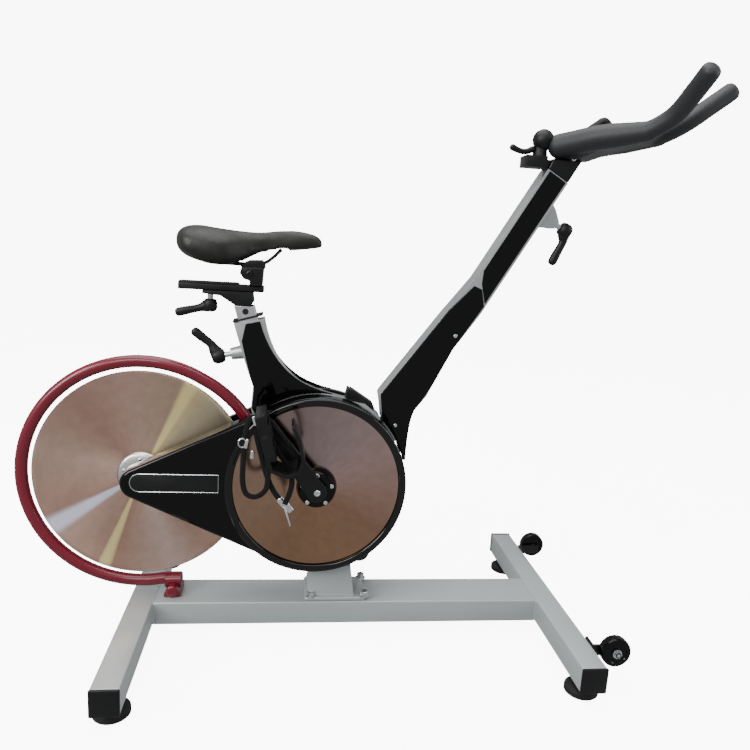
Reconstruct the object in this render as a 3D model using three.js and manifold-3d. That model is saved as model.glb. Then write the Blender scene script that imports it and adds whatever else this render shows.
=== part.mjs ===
// Indoor spin bike: floor frame, upper frame with covers, flywheel drive, saddle and handlebar.
// Millimetres, +X towards the handlebar, +Y to the rider's left, +Z up.
// While it is built, X counts from the crank axle and Z from a level 20 mm under the floor.

import * as THREE from 'three';
import { mergeVertices } from 'three/addons/utils/BufferGeometryUtils.js';
import Module from 'manifold-3d';

const wasm = await Module();
wasm.setup();

// Driving dimensions.
const FIT = 0.3;
const TUBE = 50;
const TUBE_TOP = 100;
const REAR_X = -352.8;
const REAR_HALF = 331;
const FRONT_X = 525.5;
const FRONT_HALF = 301;
const CAP = 6;
const BEAM_HALF = 51.5;
const FOOT_INSET = 46;
const FOOT_R = 33;
const FLOOR = 20;
const STEM_R = 7;
const WHEEL = { x: 592, y: 244, z: 98, r: 30, width: 22 };

const CRANK_Z = 365;
const CRANK_LENGTH = 170;
const CRANK_ANGLE = THREE.MathUtils.degToRad(126.6);
const GUARD_R = 184;
const PLATE_R = 169;
const FLY = { x: -357.6, z: 363, r: 216.7, half: 4.5 };
const RING = { r: 237.5, tube: 12.5, from: 24, to: 285, flare: 9 };
const ARM_TIP_R = 32;

const SPINE_HALF = 24;
const PLATE_OUT = 28.3;
const COVER_IN = 28.6;
const COVER_OUT = 66;
const LEFT_COVER_OUT = 52;
const WALL = 3.5;

const MAST_LEAN = 0.29;
const MAST_TOP = { x: -149, z: 695 };
const POST_LEAN = 0.578;
const POST_REF = { x: 397.3, z: 905 };
const POST_DEPTH = 50.5;
const POST_TOP_Z = 1012;
const SADDLE_WIDTH = 156;
const BAR_TURN = THREE.MathUtils.degToRad(-44);
const BAR_PIVOT = { x: 492, z: 1082 };
const STEM_DROP = 37;

const axisY = new THREE.Vector3(0, 1, 0);

// Finishes.
const finish = (color, roughness, metalness) =>
  new THREE.MeshStandardMaterial({ color, roughness, metalness });
const FINISH = {
  paint: [0xa9acac, 0.45, 0.3],
  alloy: [0xb9bab8, 0.3, 0.9],
  gloss: [0x0b0b0d, 0.12, 0.0],
  satin: [0x1b1b1d, 0.5, 0.0],
  rubber: [0x161616, 0.8, 0.0],
  flywheel: [0xb79a8c, 0.28, 1.0],
  mirror: [0x8a6f63, 0.1, 1.0],
  red: [0x8f1f33, 0.35, 0.1],
  steel: [0x8f9193, 0.35, 1.0],
  foam: [0x2a2a2c, 0.75, 0.0],
};

const bike = new THREE.Group();

function add(name, geometry, kind) {
  const mesh = new THREE.Mesh(geometry, finish(...FINISH[kind]));
  mesh.name = name;
  bike.add(mesh);
  return mesh;
}

// Solids for joining and cutting.
function solid(geometry) {
  const plain = geometry.clone();
  plain.deleteAttribute('normal');
  plain.deleteAttribute('uv');
  const welded = mergeVertices(plain, 1e-4);
  return new wasm.Manifold(new wasm.Mesh({
    numProp: 3,
    vertProperties: new Float32Array(welded.attributes.position.array),
    triVerts: new Uint32Array(welded.index.array),
  }));
}

function geometryOf(manifold) {
  const mesh = manifold.getMesh();
  const geometry = new THREE.BufferGeometry();
  geometry.setAttribute('position', new THREE.BufferAttribute(mesh.vertProperties, 3));
  geometry.setIndex(new THREE.BufferAttribute(mesh.triVerts, 1));
  return geometry;
}

const join = (...parts) => parts.map(solid).reduce((sum, part) => sum.add(part));
const cut = (body, ...tools) => tools.map(solid).reduce((rest, tool) => rest.subtract(tool), body);

// Basic shapes.
function box(x0, x1, y0, y1, z0, z1) {
  const geometry = new THREE.BoxGeometry(x1 - x0, y1 - y0, z1 - z0);
  return geometry.translate((x0 + x1) / 2, (y0 + y1) / 2, (z0 + z1) / 2);
}

function rodY(x, z, r, y0, y1, sides = 24) {
  const geometry = new THREE.CylinderGeometry(r, r, y1 - y0, sides);
  return geometry.translate(x, (y0 + y1) / 2, 0).translate(0, 0, z);
}

function rodBetween(from, to, r0, r1, sides = 16) {
  const span = new THREE.Vector3().subVectors(to, from);
  const geometry = new THREE.CylinderGeometry(r1, r0, span.length(), sides);
  geometry.translate(0, span.length() / 2, 0);
  geometry.applyQuaternion(new THREE.Quaternion().setFromUnitVectors(axisY, span.normalize()));
  return geometry.translate(from.x, from.y, from.z);
}

// Profile points for a lathe, in the order that makes its faces point outwards.
function latheProfile(profile) {
  const points = profile.map(([r, height]) => new THREE.Vector2(r, height));
  return THREE.ShapeUtils.area(points) < 0 ? points.reverse() : points;
}

// A ring or stepped disc about the Y direction; the profile is a list of [radius, y].
function turnY(x, z, profile, sides = 32) {
  const points = latheProfile(profile);
  const geometry = new THREE.LatheGeometry(points, sides);
  return geometry.translate(x, 0, z);
}

function turnZ(x, y, profile, sides = 24) {
  const points = latheProfile(profile);
  const geometry = new THREE.LatheGeometry(points, sides);
  geometry.rotateX(Math.PI / 2);
  return geometry.translate(x, y, 0);
}

// A side-view outline given in X and Z, with thickness from y0 to y1.
function slab(shape, y0, y1, curveSegments = 12) {
  const options = { depth: y1 - y0, bevelEnabled: false, curveSegments };
  const geometry = new THREE.ExtrudeGeometry(shape, options);
  return geometry.rotateX(Math.PI / 2).translate(0, y1, 0);
}

function outline(points) {
  return new THREE.Shape(points.map(([x, z]) => new THREE.Vector2(x, z)));
}

function tube(points, r, steps, sides = 10, closed = false) {
  const path = new THREE.CatmullRomCurve3(points, closed, 'centripetal');
  const section = new THREE.Shape();
  section.absarc(0, 0, r, 0, 2 * Math.PI, false);
  const ring = new THREE.Shape(section.getSpacedPoints(sides).slice(0, sides));
  return new THREE.ExtrudeGeometry(ring, { steps, bevelEnabled: false, extrudePath: path });
}

const point = (x, y, z) => new THREE.Vector3(x, y, z);
const sides = { right: -1, left: 1 };

function between(y0, y1, sign) {
  return sign < 0 ? [-y1, -y0] : [y0, y1];
}

// Floor frame: two crossbars, the wide beam between them, end caps and levelling feet.
const beamRear = REAR_X + TUBE / 2 + FIT;
const beamFront = FRONT_X - TUBE / 2 - FIT;
const tubeBottom = TUBE_TOP - TUBE;
add('main_beam', box(beamRear, beamFront, -BEAM_HALF, BEAM_HALF, tubeBottom, TUBE_TOP), 'paint');

function crossbar(name, x, half) {
  const bar = box(x - TUBE / 2, x + TUBE / 2, -half, half, tubeBottom, TUBE_TOP);
  const stems = Object.values(sides).map((sign) =>
    turnZ(x, sign * (half - FOOT_INSET), [[0, -1], [STEM_R + FIT, -1], [STEM_R + FIT, 80], [0, 80]], 12));
  add(name, geometryOf(cut(solid(bar), ...stems)), 'paint');
}
crossbar('rear_crossbar', REAR_X, REAR_HALF);
crossbar('front_crossbar', FRONT_X, FRONT_HALF);

for (const [side, sign] of Object.entries(sides)) {
  for (const [end, x, half] of [['rear', REAR_X, REAR_HALF], ['front', FRONT_X, FRONT_HALF]]) {
    const [y0, y1] = between(half + FIT, half + CAP, sign);
    const lip = TUBE / 2 + 1;
    const middle = TUBE_TOP - TUBE / 2;
    add(`cap_${end}_${side}`, box(x - lip, x + lip, y0, y1, middle - lip, middle + lip), 'satin');
    const profile = [
      [0, FLOOR], [FOOT_R, FLOOR], [FOOT_R, FLOOR + 12], [FOOT_R - 8, FLOOR + 18], [14, FLOOR + 20],
      [14, FLOOR + 28], [STEM_R, FLOOR + 28], [STEM_R, 79], [0, 79],
    ];
    add(`foot_${end}_${side}`, turnZ(x, sign * (half - FOOT_INSET), profile, 18), 'rubber');
  }

  // Transport wheel on a bracket at the front face of the front crossbar.
  const face = FRONT_X + TUBE / 2 + FIT;
  const inner = WHEEL.y - WHEEL.width / 2 - 2;
  const [b0, b1] = between(inner - 6, inner, sign);
  const [a0, a1] = between(inner - 3, inner + WHEEL.width + 8, sign);
  const [f0, f1] = between(inner - 34, inner, sign);
  const arm = box(face, WHEEL.x + 14, b0, b1, WHEEL.z - 18, WHEEL.z + 4);
  const foot = box(face, face + 5, f0, f1, WHEEL.z - 30, WHEEL.z + 4);
  const pin = rodY(WHEEL.x, WHEEL.z, 6, a0, a1, 10);
  add(`wheel_bracket_${side}`, geometryOf(join(arm, foot, pin)), 'steel');
  const w0 = inner + 1;
  const w1 = inner + 1 + WHEEL.width;
  const tyre = [
    [6.4, w0], [WHEEL.r - 4, w0], [WHEEL.r, w0 + 5], [WHEEL.r, w1 - 5],
    [WHEEL.r - 4, w1], [6.4, w1], [6.4, w0],
  ];
  const wheel = turnY(WHEEL.x, WHEEL.z, tyre, 22);
  if (sign < 0) {
    wheel.rotateZ(Math.PI).translate(2 * WHEEL.x, 0, 0);
  }
  add(`wheel_${side}`, wheel, 'gloss');
}

// Pedestal that bolts the upper frame to the main beam.
const foot0 = TUBE_TOP + FIT;
const pedestalTop = 186;
const pedestalSide = outline([[-8, foot0 + 7], [92, foot0 + 7], [82, 178], [-6, 178]]);
const pedestalFlange = box(-14, 116, -48, 48, foot0, foot0 + 8);
const pedestalNeck = box(0, 78, -24, 24, 170, pedestalTop);
add('pedestal', geometryOf(join(slab(pedestalSide, -40, 40), pedestalFlange, pedestalNeck)), 'paint');

// Upper frame: a spine that carries the saddle mast, with a socket for the seat post.
const mastX = (z) => MAST_TOP.x - MAST_LEAN * (z - MAST_TOP.z);
const spineShape = new THREE.Shape();
spineShape.moveTo(-176, 687);
spineShape.lineTo(-116, 698);
spineShape.quadraticCurveTo(-101, 611, -39, 567);
spineShape.quadraticCurveTo(6, 543, 96, 529);
spineShape.lineTo(128, 504);
spineShape.lineTo(132, 470);
spineShape.lineTo(118, 300);
spineShape.lineTo(74, pedestalTop + FIT);
spineShape.lineTo(4, pedestalTop + FIT);
spineShape.lineTo(-104, 262);
spineShape.lineTo(-119, 440);
spineShape.lineTo(-138, 515);
spineShape.lineTo(-135, 560);
spineShape.quadraticCurveTo(-150, 600, -176, 687);
const POST_SIDE = 19;
const mastTilt = Math.atan(MAST_LEAN);
const socket = box(-POST_SIDE - FIT, POST_SIDE + FIT, -POST_SIDE - FIT, POST_SIDE + FIT, -165, 40);
socket.rotateY(-mastTilt).translate(MAST_TOP.x, 0, MAST_TOP.z);
const SEAT_STUD = [point(-155, 0, 627), point(-212, 0, 615)];
const STUD_R = 5;
const alongStud = ([root, hub], distance) => {
  const direction = new THREE.Vector3().subVectors(hub, root).normalize();
  return root.clone().addScaledVector(direction, distance);
};
const BORE_R = STUD_R + FIT;
const studBore = (stud) => rodBetween(alongStud(stud, -12), alongStud(stud, 90), BORE_R, BORE_R, 12);
const spineBoss = rodBetween(alongStud(SEAT_STUD, -1), alongStud(SEAT_STUD, 27), 15, 12, 16);
const spine = cut(
  join(slab(spineShape, -SPINE_HALF, SPINE_HALF), spineBoss),
  socket, studBore(SEAT_STUD), rodY(0, CRANK_Z, 11.4, -60, 60, 20),
);
add('frame_spine', geometryOf(spine), 'alloy');

// Front post: a straight tube that leans forward, with a socket for the handlebar post.
const postX = (z) => POST_REF.x + POST_LEAN * (z - POST_REF.z);
const postTilt = Math.atan(POST_LEAN);
const along = (distance, across = 0) => [
  postX(POST_TOP_Z) - distance * Math.sin(postTilt) + across * Math.cos(postTilt),
  POST_TOP_Z - distance * Math.cos(postTilt) - across * Math.sin(postTilt),
];
const half = POST_DEPTH / 2;
const postShape = outline([
  along(0, -half), along(0, half), along(315, half),
  [272, 652], [223, 551], [200, 520], [188, 487], [184, 452],
  [142, 452], [137, 474], [133, 506], [124, 550], [258, 736], along(258, -half),
]);
const barSocket = box(-16.3, 16.3, -16.3, 16.3, -260, 30);
barSocket.rotateY(postTilt).translate(postX(POST_TOP_Z), 0, POST_TOP_Z);
const flatPoint = ([x, z]) => point(x, 0, z);
const clampSide = [[454, 964], [466, 947], [476, 921], [466, 909], [440, 911], [430, 908], [420, 915]];
const clampBlock = slab(outline(clampSide), -13, 13);
const BAR_STUD = [point(452, 0, 928), point(500, 0, 903)];
const post = cut(join(slab(postShape, -SPINE_HALF, SPINE_HALF), clampBlock), barSocket, studBore(BAR_STUD));
add('front_post', geometryOf(post), 'alloy');

// Fork plates that hold the flywheel axle on both sides.
function hullShape(xa, za, ra, xb, zb, rb) {
  const gap = Math.hypot(xb - xa, zb - za);
  const slope = Math.atan2(zb - za, xb - xa);
  const lead = Math.acos((ra - rb) / gap);
  const shape = new THREE.Shape();
  shape.absarc(xa, za, ra, slope + lead, slope - lead + 2 * Math.PI, false);
  shape.absarc(xb, zb, rb, slope - lead, slope + lead, false);
  return shape;
}
for (const [side, sign] of Object.entries(sides)) {
  const [y0, y1] = between(SPINE_HALF + FIT, PLATE_OUT, sign);
  const plate = slab(hullShape(FLY.x, FLY.z, 26, 0, CRANK_Z, 120), y0, y1, 8);
  const axleHole = rodY(FLY.x, FLY.z, 10.4, y0 - 1, y1 + 1, 14);
  const crankHole = rodY(0, CRANK_Z, 22, y0 - 1, y1 + 1, 16);
  add(`fork_plate_${side}`, geometryOf(cut(solid(plate), axleHole, crankHole)), 'steel');
}

// Drive cover: one shell that runs from the flywheel hub round the belt wheel, open towards the frame.
function coverShape(grow) {
  const shape = new THREE.Shape();
  const tip = ARM_TIP_R + grow;
  const round = GUARD_R + grow;
  const gap = -FLY.x;
  const lead = Math.acos((tip - round) / gap);
  const lowTip = 2 * Math.PI - lead;
  const slope = Math.atan2(CRANK_Z - FLY.z, gap);
  shape.absarc(FLY.x, FLY.z, tip, slope + lead, slope + lowTip, false);
  shape.absarc(0, CRANK_Z, round, slope - lead, slope + lead, false);
  return shape;
}
const rightShell = cut(
  solid(slab(coverShape(0), -COVER_OUT, -COVER_IN, 16)),
  slab(coverShape(-WALL), -COVER_OUT + WALL, 0, 16),
  rodY(0, CRANK_Z, 20, -80, 0, 16),
  rodY(FLY.x, FLY.z, 10.4, -COVER_OUT + 1, 0),
);
const panelShape = new THREE.Shape();
panelShape.absarc(-350, 367, 19, Math.PI / 2, 1.5 * Math.PI, false);
panelShape.lineTo(-196, 348);
panelShape.lineTo(-196, 386);
const recess = new THREE.Shape();
recess.absarc(-350, 367, 19.4, Math.PI / 2, 1.5 * Math.PI, false);
recess.lineTo(-195.6, 347.6);
recess.lineTo(-195.6, 386.4);
const pocket = slab(recess, -COVER_OUT - 1, -COVER_OUT + 1.2, 8);
add('drive_cover', geometryOf(cut(rightShell, pocket)), 'gloss');
add('arm_panel', slab(panelShape, -COVER_OUT - 0.6, -COVER_OUT + 0.9, 8), 'satin');
const plateBack = -COVER_OUT - FIT;
const guardPlate = [[24, plateBack - 3], [PLATE_R, plateBack - 3], [PLATE_R, plateBack], [24, plateBack]];
add('belt_guard_plate', turnY(0, CRANK_Z, closed(guardPlate), 40), 'mirror');
const rim = [
  [PLATE_R + FIT, plateBack - 8], [PLATE_R + 8, plateBack - 11],
  [GUARD_R, plateBack - 7], [GUARD_R, plateBack],
  [PLATE_R + FIT, plateBack],
];
add('belt_guard_rim', turnY(0, CRANK_Z, closed(rim), 40), 'gloss');
function closed(profile) {
  return [...profile, profile[0]];
}

const leftShell = cut(
  solid(slab(coverShape(0), COVER_IN, LEFT_COVER_OUT, 14)),
  slab(coverShape(-WALL), 0, LEFT_COVER_OUT - WALL, 14),
  rodY(0, CRANK_Z, 20, 0, 80, 16),
);
add('left_cover', geometryOf(leftShell), 'gloss');

// Flat side covers on the saddle mast and the front post.
const mastCover = new THREE.Shape();
mastCover.moveTo(-152, 687);
mastCover.lineTo(-124, 693);
mastCover.quadraticCurveTo(-104, 622, -52, 583);
mastCover.quadraticCurveTo(-24, 562, 26, 551);
mastCover.lineTo(26, 549.5);
mastCover.absarc(0, CRANK_Z, GUARD_R + 2, 1.43, 2.32, false);
mastCover.lineTo(-136, 515);
mastCover.lineTo(-133, 556);
mastCover.quadraticCurveTo(-147, 600, -159, 652);
const postCover = new THREE.Shape();
postCover.moveTo(126, 553);
postCover.lineTo(256, 733);
postCover.lineTo(305, 785);
postCover.lineTo(322, 778);
postCover.lineTo(329, 744);
postCover.lineTo(268, 648);
postCover.quadraticCurveTo(232, 566, 199, 521);
postCover.quadraticCurveTo(187, 490, 187, 412);
postCover.absarc(0, CRANK_Z, GUARD_R + 3, 0.255, 0.78, false);
for (const [side, sign] of Object.entries(sides)) {
  const [y0, y1] = between(SPINE_HALF + FIT, PLATE_OUT, sign);
  add(`mast_cover_${side}`, slab(mastCover, y0, y1, 8), 'gloss');
  add(`post_cover_${side}`, slab(postCover, y0, y1, 8), 'gloss');
}

// Flywheel with its hub, axle and small pulley.
const flat = FLY.half;
const disc = [[15, -flat], [FLY.r, -flat], [FLY.r, flat], [15, flat]];
add('flywheel', turnY(FLY.x, FLY.z, closed(disc), 56), 'flywheel');
const hub = [
  [8.3, -23], [22, -23], [24, -16], [46, -11], [48, -flat - FIT],
  [14.7, -flat - FIT], [14.7, 23], [8.3, 23],
];
add('flywheel_hub', turnY(FLY.x, FLY.z, closed(hub), 24), 'alloy');
add('flywheel_axle', rodY(FLY.x, FLY.z, 8, -60, 47, 20), 'steel');
const smallPulley = [[8.3, -57], [15.5, -57], [13, -54], [13, -42], [15.5, -39], [8.3, -39]];
add('small_pulley', turnY(FLY.x, FLY.z, closed(smallPulley), 14), 'steel');
const PULLEY_R = 104;
const bigPulley = [[11.3, -55], [30, -50], [PULLEY_R - 12, -50], [PULLEY_R, -55], [PULLEY_R, -41],
  [PULLEY_R - 12, -46], [30, -46], [11.3, -41]];
add('drive_pulley', turnY(0, CRANK_Z, closed(bigPulley), 30), 'steel');
const beltOut = slab(hullShape(FLY.x, FLY.z, 16.3, 0, CRANK_Z, PULLEY_R + 3.3), -53.5, -42.5, 12);
const beltIn = slab(hullShape(FLY.x, FLY.z, 13.4, 0, CRANK_Z, PULLEY_R + 0.4), -60, -30, 12);
add('belt', geometryOf(cut(solid(beltOut), beltIn)), 'rubber');

// Cranks, the axle between them and the hub cover.
const CRANK_IN = 92;
const CRANK_OUT = 106;
add('crank_axle', rodY(0, CRANK_Z, 11, -CRANK_IN + 0.4, CRANK_IN - 0.4, 20), 'steel');
const hubFace = -CRANK_IN + FIT;
const cup = [[11.4, plateBack - 3.3], [41, plateBack - 3.3], [36, hubFace + 2], [11.4, hubFace + 0.6]];
add('hub_cover', turnY(0, CRANK_Z, closed(cup), 28), 'gloss');
const pedalAt = {};
for (const [side, sign] of Object.entries(sides)) {
  const turn = sign < 0 ? CRANK_ANGLE : CRANK_ANGLE + Math.PI;
  const px = CRANK_LENGTH * Math.cos(turn);
  const pz = CRANK_Z + CRANK_LENGTH * Math.sin(turn);
  pedalAt[side] = [px, pz];
  const [y0, y1] = between(CRANK_IN, CRANK_OUT, sign);
  const arm = slab(hullShape(0, CRANK_Z, 20, px, pz, 14), y0, y1, 10);
  const hole = rodY(px, pz, 7.3, y0 - 1, y1 + 1, 20);
  add(`crank_${side}`, geometryOf(cut(solid(arm), hole)), 'satin');

  // Pedal body with its spindle, and the toe cage that stands in front of it.
  const [s0, s1] = between(CRANK_IN + 4, CRANK_OUT + 96, sign);
  const [p0, p1] = between(CRANK_OUT + 10, CRANK_OUT + 94, sign);
  const lean = THREE.MathUtils.degToRad(-74);
  const body = box(-44, 40, p0, p1, -9, 9);
  const windows = [-27, 14].map((x) => box(x, x + 14, p0 + 14, p1 - 14, -20, 20));
  const pedal = cut(join(body, rodY(0, 0, 7, s0, s1, 16)), ...windows);
  const pedalGeometry = geometryOf(pedal).rotateY(-lean).translate(px, 0, pz);
  add(`pedal_${side}`, pedalGeometry, 'satin');
  const cageOut = outline([[40.4, -10], [66, -8], [86, 16], [84, 44], [62, 58], [18, 60], [-8, 54]]);
  const cageIn = outline([
    [46, -4], [62, -3], [79, 18], [78, 40], [60, 52], [18, 54], [-30, 44], [-30, -12], [46, -12],
  ]);
  const cage = cut(solid(slab(cageOut, p0 + 8, p1 - 8)), slab(cageIn, p0 - 5, p1 + 5));
  const cageBase = box(40.4, 46.5, p0 + 8, p1 - 8, -9.9, 9);
  const cageGeometry = geometryOf(cage.add(solid(cageBase))).rotateY(-lean).translate(px, 0, pz);
  add(`toe_cage_${side}`, cageGeometry, 'satin');
}

// Magnet brake carriage: a fork that straddles the flywheel's rim in front of the axle.
const carriage = cut(
  solid(box(-176, -126, -15, 15, 322, 402)),
  box(-190, -134, -8, 8, 300, 420),
);
add('magnet_carriage', geometryOf(carriage), 'steel');

// Red ring guard round the flywheel, and the bracket that holds its lower end.
const ringPoint = (degrees) => {
  const a = THREE.MathUtils.degToRad(degrees);
  const r = RING.r + RING.flare * Math.max(0, 60 - degrees) / 36;
  return point(FLY.x + r * Math.cos(a), 0, FLY.z + r * Math.sin(a));
};
const ringPath = [];
for (let a = RING.from; a <= RING.to; a += 9) {
  ringPath.push(ringPoint(a));
}
const ring = cut(
  solid(tube(ringPath, RING.tube, 44, 10)),
  box(-131, 0, -40, 40, 400, 560),
  box(-312.3, -200, -40, 40, 90, 180),
);
add('ring_guard', geometryOf(ring), 'red');
add('ring_bracket', geometryOf(join(
  rodBetween(point(-312, 0, 127), point(-272, 0, 127), 17, 17, 16),
  box(-310, -274, -15, 15, foot0 + 5, 127),
  box(-314, -270, -34, 34, foot0, foot0 + 6),
)), 'red');

// Seat post, slide and saddle.
const carrierZ = 722;
const seatPost = cut(
  solid(box(-POST_SIDE, POST_SIDE, -POST_SIDE, POST_SIDE, -160, 40)),
  box(-POST_SIDE + 3, POST_SIDE - 3, -POST_SIDE + 3, POST_SIDE - 3, -200, 30),
);
const seatPostGeometry = geometryOf(seatPost).rotateY(-mastTilt).translate(MAST_TOP.x, 0, MAST_TOP.z);
add('seat_post', geometryOf(solid(seatPostGeometry).subtract(
  solid(box(-300, 0, -60, 60, carrierZ - FIT, 900)))), 'alloy');
const SLIDE_HALF = 18;
const carrier = join(
  slab(outline([
    [-174, carrierZ], [-143, carrierZ], [-138, 730], [-140, 749], [-238, 749], [-238, 743], [-203, 740],
  ]),
    -SLIDE_HALF - 3, SLIDE_HALF + 3),
);
const carrierBore = rodBetween(point(-224, 0, 700), point(-224, 0, 752), 5.3, 5.3, 12);
add('saddle_carrier', geometryOf(cut(carrier, carrierBore)), 'satin');
const slideZ = 749 + FIT;
const slideTop = 762;
add('saddle_slide', box(-285, -119, -SLIDE_HALF, SLIDE_HALF, slideZ, slideTop), 'satin');
const clampShape = outline([
  [-146, slideTop + FIT], [-122, slideTop + FIT], [-120, 798],
  [-163, 798], [-166, 786], [-158, 775], [-147, 772],
]);
add('saddle_clamp', slab(clampShape, -26, 26), 'satin');
const rail = (sign) => tube([
  point(-248, sign * 24, 812), point(-228, sign * 23, 806), point(-176, sign * 22, 803.4),
  point(-124, sign * 15, 804.4), point(-106, sign * 10, 816), point(-88, sign * 5, 834),
], 3.6, 10, 6);
const railBridge = rodBetween(point(-247, -27, 811.6), point(-247, 27, 811.6), 3.6, 3.6, 6);
const nosePin = rodBetween(point(-89, -8, 833), point(-89, 8, 833), 4.4, 4.4, 6);
add('saddle_rails', geometryOf(join(rail(-1), rail(1), railBridge, nosePin)), 'steel');

const saddleSide = new THREE.Shape();
saddleSide.moveTo(-283, 843);
saddleSide.quadraticCurveTo(-283, 868, -254, 871);
saddleSide.quadraticCurveTo(-190, 861, -126, 864);
saddleSide.quadraticCurveTo(-80, 870, -51, 873);
saddleSide.quadraticCurveTo(-6, 869, -3, 851);
saddleSide.lineTo(-3, 844);
saddleSide.lineTo(-50, 837);
saddleSide.lineTo(-99, 831);
saddleSide.lineTo(-141, 825);
saddleSide.quadraticCurveTo(-178, 797, -202, 796.5);
saddleSide.quadraticCurveTo(-238, 798, -260, 812);
saddleSide.quadraticCurveTo(-281, 825, -283, 843);
const saddlePlan = new THREE.Shape();
const wide = SADDLE_WIDTH / 2;
saddlePlan.moveTo(-289, -30);
saddlePlan.quadraticCurveTo(-288, -wide, -240, -wide);
saddlePlan.bezierCurveTo(-170, -wide, -160, -24, -100, -22);
saddlePlan.lineTo(-30, -20);
saddlePlan.quadraticCurveTo(0, -20, 0, 0);
saddlePlan.quadraticCurveTo(0, 20, -30, 20);
saddlePlan.lineTo(-100, 22);
saddlePlan.bezierCurveTo(-160, 24, -170, wide, -240, wide);
saddlePlan.quadraticCurveTo(-288, wide, -289, 30);
const planDepth = { depth: 200, bevelEnabled: false, curveSegments: 6 };
const planBlock = new THREE.ExtrudeGeometry(saddlePlan, planDepth);
planBlock.translate(0, 0, 740);
const saddleBlock = solid(slab(saddleSide, -wide - 5, wide + 5, 6)).intersect(solid(planBlock));
const saddleHollow = [box(-254, -128, -34, 34, 780, 836), box(-129, -70, -15.5, 15.5, 780, 842)];
add('saddle', geometryOf(cut(saddleBlock, ...saddleHollow)), 'foam');

// Clamp levers: a threaded stud, a round hub and a handle that swings about the stud.
function lever(name, stud, tip) {
  const reach = stud[0].distanceTo(stud[1]);
  add(name, geometryOf(join(
    rodBetween(stud[0], stud[1], STUD_R, STUD_R, 10),
    rodBetween(alongStud(stud, reach - 8), alongStud(stud, reach + 12), 11, 10, 12),
    rodBetween(alongStud(stud, reach + 4), tip, 7.5, 6, 10),
  )), 'satin');
}
lever('seat_lever', SEAT_STUD, point(-253, 0, 662));
lever('slide_lever', [point(-224, 0, 748), point(-224, 0, 715)], point(-287, 0, 702));
lever('bar_lever', BAR_STUD, BAR_STUD[1].clone().add(point(-24, 0, -62)));

// Handlebar post, and the bar on top of it, turned about the upright through the stem.
const barPost = box(-16, 16, -16, 16, -250, 12);
barPost.rotateY(postTilt).translate(postX(POST_TOP_Z), 0, POST_TOP_Z);
const stemFoot = BAR_PIVOT.z - STEM_DROP;
const stem = slab(outline([
  along(-0.4, -half), along(-0.4, half), [524, stemFoot + 30], [456, stemFoot + 30],
]),
  -SPINE_HALF, SPINE_HALF);
const aboveStem = box(300, 700, -60, 60, stemFoot, stemFoot + 90);
add('bar_post', geometryOf(cut(join(barPost, stem), aboveStem)), 'satin');

const GRIP_R = 24;
const HORN_R = 16.5;
const bar = new THREE.Group();
bar.position.set(BAR_PIVOT.x, 0, BAR_PIVOT.z);
bar.rotation.z = BAR_TURN;
bike.add(bar);
const horn = (sign) => tube([
  point(145, sign * 33, 6), point(177, sign * 35, 19), point(206, sign * 42, 37), point(236, sign * 63, 66),
  point(267, sign * 88, 97),
], HORN_R, 10, 10);
const wing = (sign) => tube([
  point(-18, sign * 36, -12), point(20, sign * 36, -6), point(62, sign * 36, 1), point(108, sign * 34, 5),
  point(160, sign * 32, 10),
], GRIP_R, 8, 12);
const neck = slab(outline([
  [-26, -STEM_DROP + FIT], [24, -STEM_DROP + FIT], [70, -22], [150, -8],
  [170, 6], [160, 30], [104, 24], [40, 12],
  [-26, 2],
]), -30, 30);
add('handlebar', geometryOf(join(horn(-1), horn(1), wing(-1), wing(1), neck)), 'rubber');
bar.add(bike.getObjectByName('handlebar'));

// Gear shifter on the rider's side of the bar: a ball housing with a thumb lever.
const BALL_R = 22;
const shifter = point(427, -6, 1081);
add('shifter_housing', geometryOf(join(
  new THREE.SphereGeometry(BALL_R, 14, 9).translate(shifter.x, shifter.y, shifter.z),
  box(391, 434, -24, 20, 1027, 1049),
  rodBetween(point(shifter.x - 4, -4, 1076), point(shifter.x - 4, -4, 1046), 13, 15, 14),
)), 'satin');
add('shifter_lever', tube([
  point(shifter.x - 20.8, -8, 1065), point(shifter.x - 36, -11, 1060), point(shifter.x - 52, -13, 1060),
  point(shifter.x - 64, -14, 1064),
], 5.5, 6, 8), 'satin');

// The finished bike stands on the floor, centred over the origin.
bike.updateMatrixWorld(true);
const span = new THREE.Box3().setFromObject(bike, true);
bike.position.set(-(span.min.x + span.max.x) / 2, -(span.min.y + span.max.y) / 2, -span.min.z);

export default bike;
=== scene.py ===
# %% [markdown]
# # An indoor spin bike
# A silver floor frame, a cast spine under gloss black covers, a turned bronze flywheel
# behind a red ring guard, a padded saddle and a dipped handlebar. The solid model gives every
# place and size; this lesson gives each part its fine shape and its finish.

# %% Load the frame
import math
import bmesh
import bpy
from mathutils import Matrix, Vector


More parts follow.
